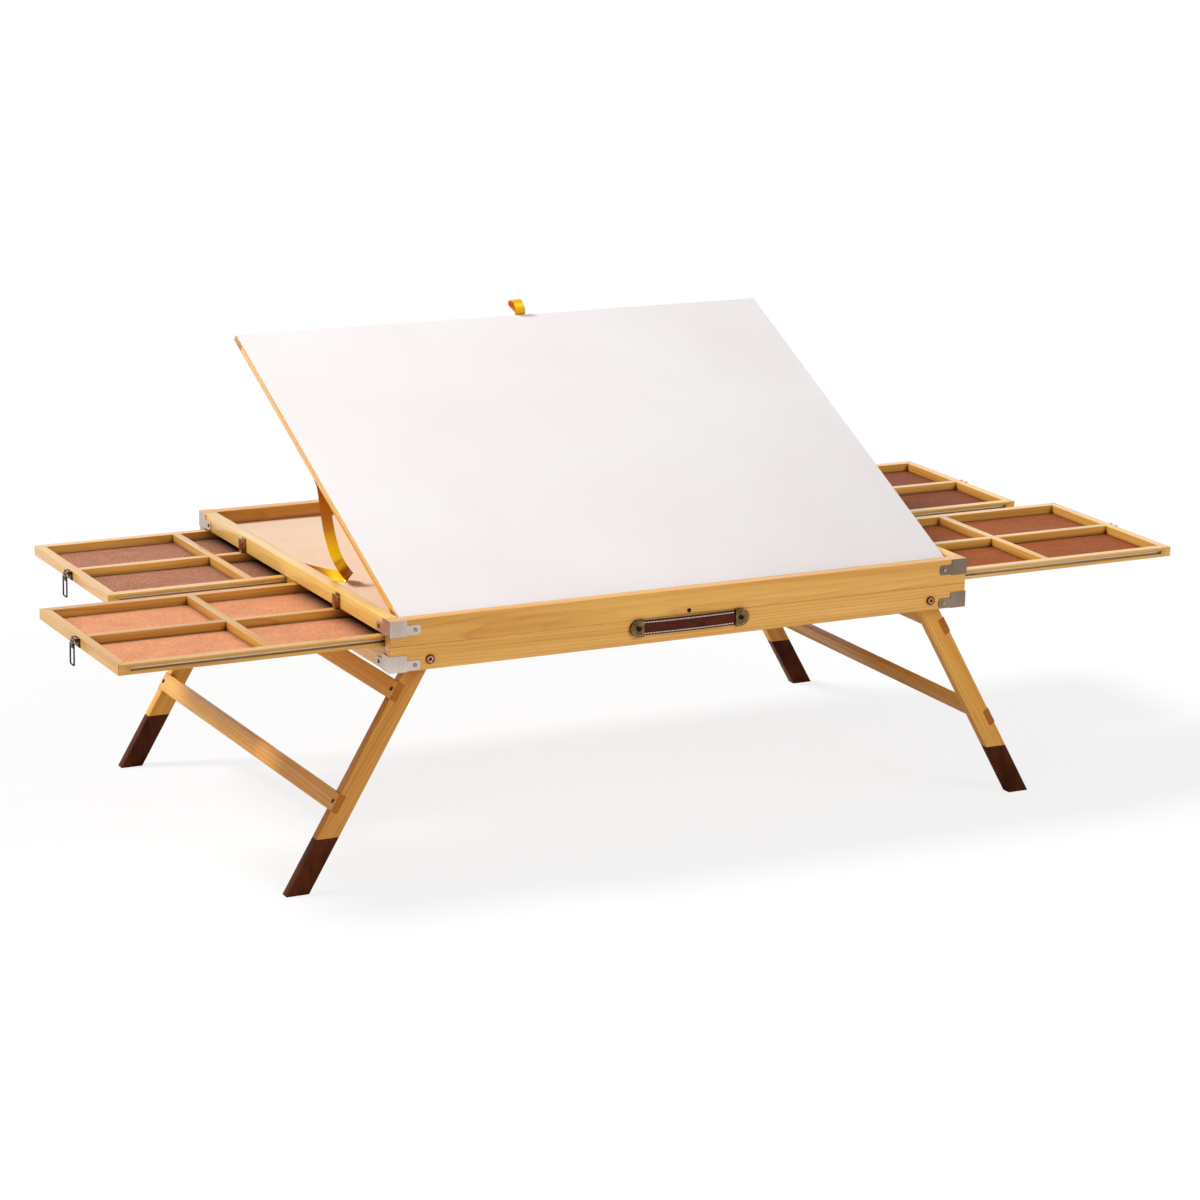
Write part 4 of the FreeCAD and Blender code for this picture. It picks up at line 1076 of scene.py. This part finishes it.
white, tree, shader = new_finish("white_laminate", Roughness=0.65, Specular_IOR_Level=0.15)
where = table_place(tree)
tooth = speckle(tree, where, (900.0, 900.0, 900.0), detail=3.0, roughness=0.6)
haze = speckle(tree, where, (5.0, 5.0, 5.0))
base = banded(tree, tooth, [(0.3, srgb(238, 233, 232)), (0.7, srgb(245, 240, 239))])
tone = banded(tree, haze, [(0.3, srgb(250, 249, 249)), (0.7, srgb(255, 255, 255))])
wire_up(tree, shader, mixed(tree, 1.0, base, tone, "MULTIPLY"))
raise_surface(tree, shader, tooth, depth=0.02, strength=0.3)
sheet_low = BOARD_LOW + Vector((SHEET_BORDER, SHEET_BORDER, 0))
sheet_low.z = rail_high.z
sheet_high = BOARD_HIGH - Vector((SHEET_BORDER, SHEET_BORDER, 0))
sheet = plank("white_board_sheet", sheet_low, sheet_high, SHEET_EASED)
sheet.data.transform(tip_up)
hand_over(sheet, white, "board", "white_sheet", "board_sheet")
dress("board_hinge_pins", "board_pivot_pins", grey_steel, "frame", "grey_steel")

# Prop under the board: two pine arms joined by a bar, on a steel rod in two blocks.
# The lower rod slides in slotted guides on the box floor, and nuts clamp it there.
BLOCK_RUN = (1, 0, 0)
ARM_RUN = (0, 0.9, -0.43)
for name, node, body, along in (
    ("prop_hinge_blocks", "board_prop_blocks", "board", BLOCK_RUN),
    ("prop_arm_pair", "prop_arms", "prop", ARM_RUN),
):
    dress(name, node, board_pine, body, "pine", EASED_EDGE, long_edge, along)
dress("prop_rod_pair", "prop_rods", grey_steel, "prop", "grey_steel")
dress("prop_guide_plates", "prop_guides", grey_steel, "frame", "grey_steel", eased=0.4)

# Stay ribbons: yellow satin, tacked under the board and to the side rails. They
# keep the board from falling back, and hang slack and twisted while it is propped.
RIBBON_W = 15.0
RIBBON_T = 0.4
RIBBON_POINTS = 3
RIBBON_ANGLE = 60


def satin(name, tones, painted_sheen, sheer):
    """Ribbed satin, thin enough to let light through. Its tones run along its length as
    painted light and shade, gold where a stretch is lit and brown where it is in shade, and a
    painted sheen makes the lit stretches metallic."""
    made, tree, shader = new_finish(name, Specular_IOR_Level=0.4, Sheen_Weight=0.1)
    across = put(tree, "UVMap", {}).outputs[0]
    weave = put(tree, "Mapping", {"Vector": across, "Scale": (60.0, 420.0, 1.0)}).outputs[0]
    ribs = put(tree, "TexNoise", {"Vector": weave, "Scale": 1.0, "Detail": 2.0}).outputs[0]
    parts = put(tree, "SeparateXYZ", {0: across}).outputs
    painted_shading = banded(tree, parts["Y"], tones)
    cord = banded(tree, ribs, [(0.3, 0.86), (0.7, 1.0)])
    rim = banded(tree, parts["X"], [(0.0, 0.8), (0.06, 1.0), (0.94, 1.0), (1.0, 0.8)])
    colour = mixed(tree, 1.0, mixed(tree, 1.0, painted_shading, cord, "MULTIPLY"), rim, "MULTIPLY")
    wire_up(tree, shader, colour, banded(tree, ribs, [(0.3, 0.3), (0.7, 0.42)]))
    tree.links.new(banded(tree, parts["Y"], painted_sheen), shader.inputs["Metallic"])
    raise_surface(tree, shader, ribs, depth=0.05, strength=0.5)
    through = put(tree, "BsdfTranslucent", {"Color": colour})
    both = put(tree, "MixShader", {0: sheer, 1: shader.outputs[0], 2: through.outputs[0]})
    tree.links.new(both.outputs[0], tree.nodes["Material Output"].inputs["Surface"])
    return made


gold = srgb(255, 198, 0)
amber = srgb(226, 142, 0)
brown = srgb(178, 92, 4)
# The stay's bands are painted light and shade: brown at the top in the board's shadow and at the
# crease, gold with a pale highlight where it bends into the light.
stay_satin = satin(
    "stay_satin",
    tones=[
        (0.0, brown),
        (0.12, srgb(222, 134, 0)),
        (0.24, srgb(240, 158, 0)),
        (0.32, srgb(250, 186, 0)),
        (0.4, gold),
        (0.46, srgb(255, 218, 50)),
        (0.5, gold),
        (0.53, brown),
        (0.58, amber),
        (0.64, brown),
        (0.67, brown),
        (0.7, gold),
        (0.78, srgb(255, 210, 20)),
        (0.88, amber),
        (1.0, brown),
    ],
    painted_sheen=[
        (0.0, 0.0),
        (0.28, 0.1),
        (0.38, 0.9),
        (0.48, 0.9),
        (0.52, 0.1),
        (0.67, 0.1),
        (0.71, 0.8),
        (0.84, 0.4),
    ],
    sheer=0.12,
)


def ribbon(name, rows):
    """A strip through rows of (middle, side) in mm: a grid bent row by row, smoothed."""
    pick_none()
    bpy.ops.mesh.primitive_grid_add(
        x_subdivisions=RIBBON_POINTS - 1, y_subdivisions=len(rows) - 1, size=1
    )
    strip = bpy.context.active_object
    strip.name = strip.data.name = name
    for index, vertex in enumerate(strip.data.vertices):
        row, point = divmod(index, RIBBON_POINTS)
        middle, side = rows[row]
        spread = Vector(side).normalized() * RIBBON_W * (point - 1) / 2
        vertex.co = (Vector(middle) + spread) * MM
    smooth = strip.modifiers.new("smooth", "SUBSURF")
    smooth.levels = smooth.render_levels = 3
    wall = strip.modifiers.new("thickness", "SOLIDIFY")
    wall.thickness = RIBBON_T * MM
    wall.offset = 0
    for modifier in ("smooth", "thickness"):
        bpy.ops.object.modifier_apply(modifier=modifier)
    smooth_below(RIBBON_ANGLE)
    return strip


stay_rows = [
    ((-407.5, -30.6, 481.0), (1, 0, 0)),
    ((-407.5, -43.2, 474.8), (1, 0, 0)),
    ((-407.3, -47.5, 467.0), (1, -0.1, 0)),
    ((-405.6, -50.0, 448.0), (1, -0.2, 0)),
    ((-403.6, -51.5, 430.0), (1, -0.25, 0)),
    ((-401.5, -54.5, 412.0), (0.95, -0.35, 0.05)),
    ((-400.0, -63.0, 394.0), (0.9, -0.45, 0.05)),
    ((-398.6, -72.0, 381.0), (0.9, -0.4, 0.1)),
    ((-394.5, -75.5, 371.5), (0.95, -0.2, 0.25)),
    ((-385.0, -70.0, 359.0), (1, 0.1, 0.5)),
    ((-376.8, -63.5, 350.0), (1, 0.1, 0.8)),
    ((-371.2, -58.5, 345.6), (1, 0.15, 0.95)),
    ((-374.5, -53.0, 345.8), (0.6, 0.4, 0.9)),
    ((-385.0, -45.0, 346.2), (0.2, 0.55, 0.8)),
    ((-398.0, -30.0, 347.2), (0.1, 0.4, 0.9)),
    ((-409.0, -10.0, 347.8), (0.1, 0.2, 1)),
    ((-415.8, 12.0, 348.2), (0.05, 0.05, 1)),
    ((-416.2, 28.0, 348.4), (0.02, 0, 1)),
]
for side, hand in (("left", 1), ("right", -1)):
    rows = [((hand * m[0], m[1], m[2]), (hand * s[0], s[1], s[2])) for m, s in stay_rows]
    stay = ribbon(side + "_stay_satin", rows)
    hand_over(stay, stay_satin, "frame", "ribbon", side + "_stay_ribbon")
    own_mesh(stay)

# Pull loop: a short piece of the same satin, tacked to the board's back edge and
# looped above it, leaning to the left. It lifts the board out of the closed box.
low, high = extent("pull_ribbon")
loop_y = (low.y + high.y) / 2
loop_x = (low.x + high.x) / 2
loop_rows = [
    ((loop_x + 2.2, loop_y + 3.3, low.z + 1.3), (1, 0, 0)),
    ((loop_x + 2.0, loop_y + 0.5, low.z + 7.2), (1, 0, 0)),
    ((loop_x + 1.4, loop_y - 1.4, low.z + 11.0), (1, 0, 0.02)),
    ((loop_x + 0.4, loop_y - 0.8, low.z + 16.4), (1, 0, 0.04)),
    ((loop_x - 1.0, loop_y + 1.8, low.z + 22.6), (1, 0, 0.06)),
    ((loop_x - 2.6, loop_y + 6.8, low.z + 26.6), (1, 0, 0.06)),
    ((loop_x - 3.6, loop_y + 13.0, low.z + 25.6), (1, 0, 0.06)),
    ((loop_x - 3.4, loop_y + 17.2, low.z + 19.6), (1, 0, 0.06)),
    ((loop_x - 1.2, loop_y + 13.6, low.z + 14.8), (1, 0, 0.04)),
    ((loop_x + 0.6, loop_y + 6.9, low.z + 11.4), (1, 0, 0.02)),
    ((loop_x + 1.8, loop_y + 1.2, low.z + 9.0), (1, 0, 0)),
    ((loop_x + 2.4, loop_y + 3.8, low.z + 1.4), (1, 0, 0)),
]
# The loop's bands are painted light and shade too: a pale highlight on its lit top, orange on its
# shaded inside, and a painted sheen on its front strand.
loop_satin = satin(
    "loop_satin",
    tones=[
        (0.0, srgb(255, 206, 0)),
        (0.36, srgb(255, 212, 0)),
        (0.48, srgb(255, 224, 60)),
        (0.6, srgb(255, 170, 0)),
        (1.0, gold),
    ],
    painted_sheen=[(0.0, 0.3), (0.5, 0.3), (0.58, 0.0)],
    sheer=0.35,
)
loop = ribbon("pull_loop_satin", loop_rows)
hand_over(loop, loop_satin, "board", "ribbon", "pull_ribbon")

# Studio: a pale floor that runs out to white, a broad soft lamp high on the left, a
# weaker one before the table, and an even white room. The camera stands front left.
WHITE = (1.0, 1.0, 1.0, 1.0)
ROOM_LIGHT = 0.25
FLOOR_SIZE = 60
FLOOR_DROP = 0.2
FLOOR_TONE = 0.93
FLOOR_GLOW = 0.82
FLOOR_BOUNCE = 0.85
LAMPS = (
    ("key_lamp", Vector((-0.60, 0.30, 0.74)), 0.92, 16),
    ("front_lamp", Vector((0.30, -0.75, 0.59)), 0.32, 30),
)
scene = bpy.context.scene
scene.view_settings.view_transform = "Standard"


def seen_directly(tree):
    """1 for what the camera sees itself, in a mirror or through glass, and 0 for light."""
    path = put(tree, "LightPath", {}).outputs
    seen = sums(tree, "MAXIMUM", path["Is Camera Ray"], path["Is Glossy Ray"])
    return sums(tree, "MAXIMUM", seen, path["Is Transmission Ray"])


room = bpy.data.worlds.new("white_room")
room.use_nodes = True
scene.world = room
tree = room.node_tree
backdrop = tree.nodes["Background"]
backdrop.inputs["Color"].default_value = WHITE
glow = sums(tree, "MULTIPLY_ADD", seen_directly(tree), 1 - ROOM_LIGHT, ROOM_LIGHT)
tree.links.new(glow, backdrop.inputs["Strength"])

pick_none()
bpy.ops.mesh.primitive_plane_add(size=FLOOR_SIZE, location=(0, 0, -FLOOR_DROP * MM))
ground = bpy.context.active_object
ground.name = "studio_floor"
bpy.ops.object.transform_apply(location=True, rotation=True, scale=True)
pale, tree, shader = new_finish("pale_floor", Roughness=0.9, Specular_IOR_Level=0.0)
in_view = put(tree, "LightPath", {}).outputs["Is Camera Ray"]
bounce = sums(tree, "MULTIPLY_ADD", in_view, FLOOR_TONE - FLOOR_BOUNCE, FLOOR_BOUNCE)
tree.links.new(bounce, shader.inputs["Base Color"])
shine = put(tree, "Emission", {"Color": WHITE, "Strength": 1.0})
share = sums(tree, "MULTIPLY", in_view, FLOOR_GLOW)
both = put(tree, "MixShader", {0: share, 1: shader.outputs[0], 2: shine.outputs[0]})
tree.links.new(both.outputs[0], tree.nodes["Material Output"].inputs["Surface"])
ground.data.materials.append(pale)

for name, stands, level, spread in LAMPS:
    bpy.ops.object.light_add(type="SUN")
    lamp = bpy.context.active_object
    lamp.name = name
    lamp.rotation_euler = (-stands).to_track_quat("-Z", "Y").to_euler()
    lamp.data.energy = level * math.pi
    lamp.data.angle = math.radians(spread)

CAMERA_AT = Vector((-2334.9, -4522.1, 1604.4))
CAMERA_RIGHT = Vector((0.88781, -0.45972, 0.02134))
CAMERA_UP = Vector((0.09889, 0.23585, 0.96675))
CAMERA_BACK = Vector((-0.44947, -0.85617, 0.25485))
CAMERA_LENS = 112.02
CAMERA_SENSOR = 36.0
CAMERA_REACH = 200.0
bpy.ops.object.camera_add()
camera = bpy.context.active_object
camera.name = "photo_camera"
turn = Matrix((CAMERA_RIGHT, CAMERA_UP, CAMERA_BACK)).transposed()
camera.matrix_world = Matrix.Translation(CAMERA_AT * MM) @ turn.to_4x4()
camera.data.lens = CAMERA_LENS
camera.data.sensor_width = CAMERA_SENSOR
camera.data.clip_end = CAMERA_REACH
scene.camera = camera
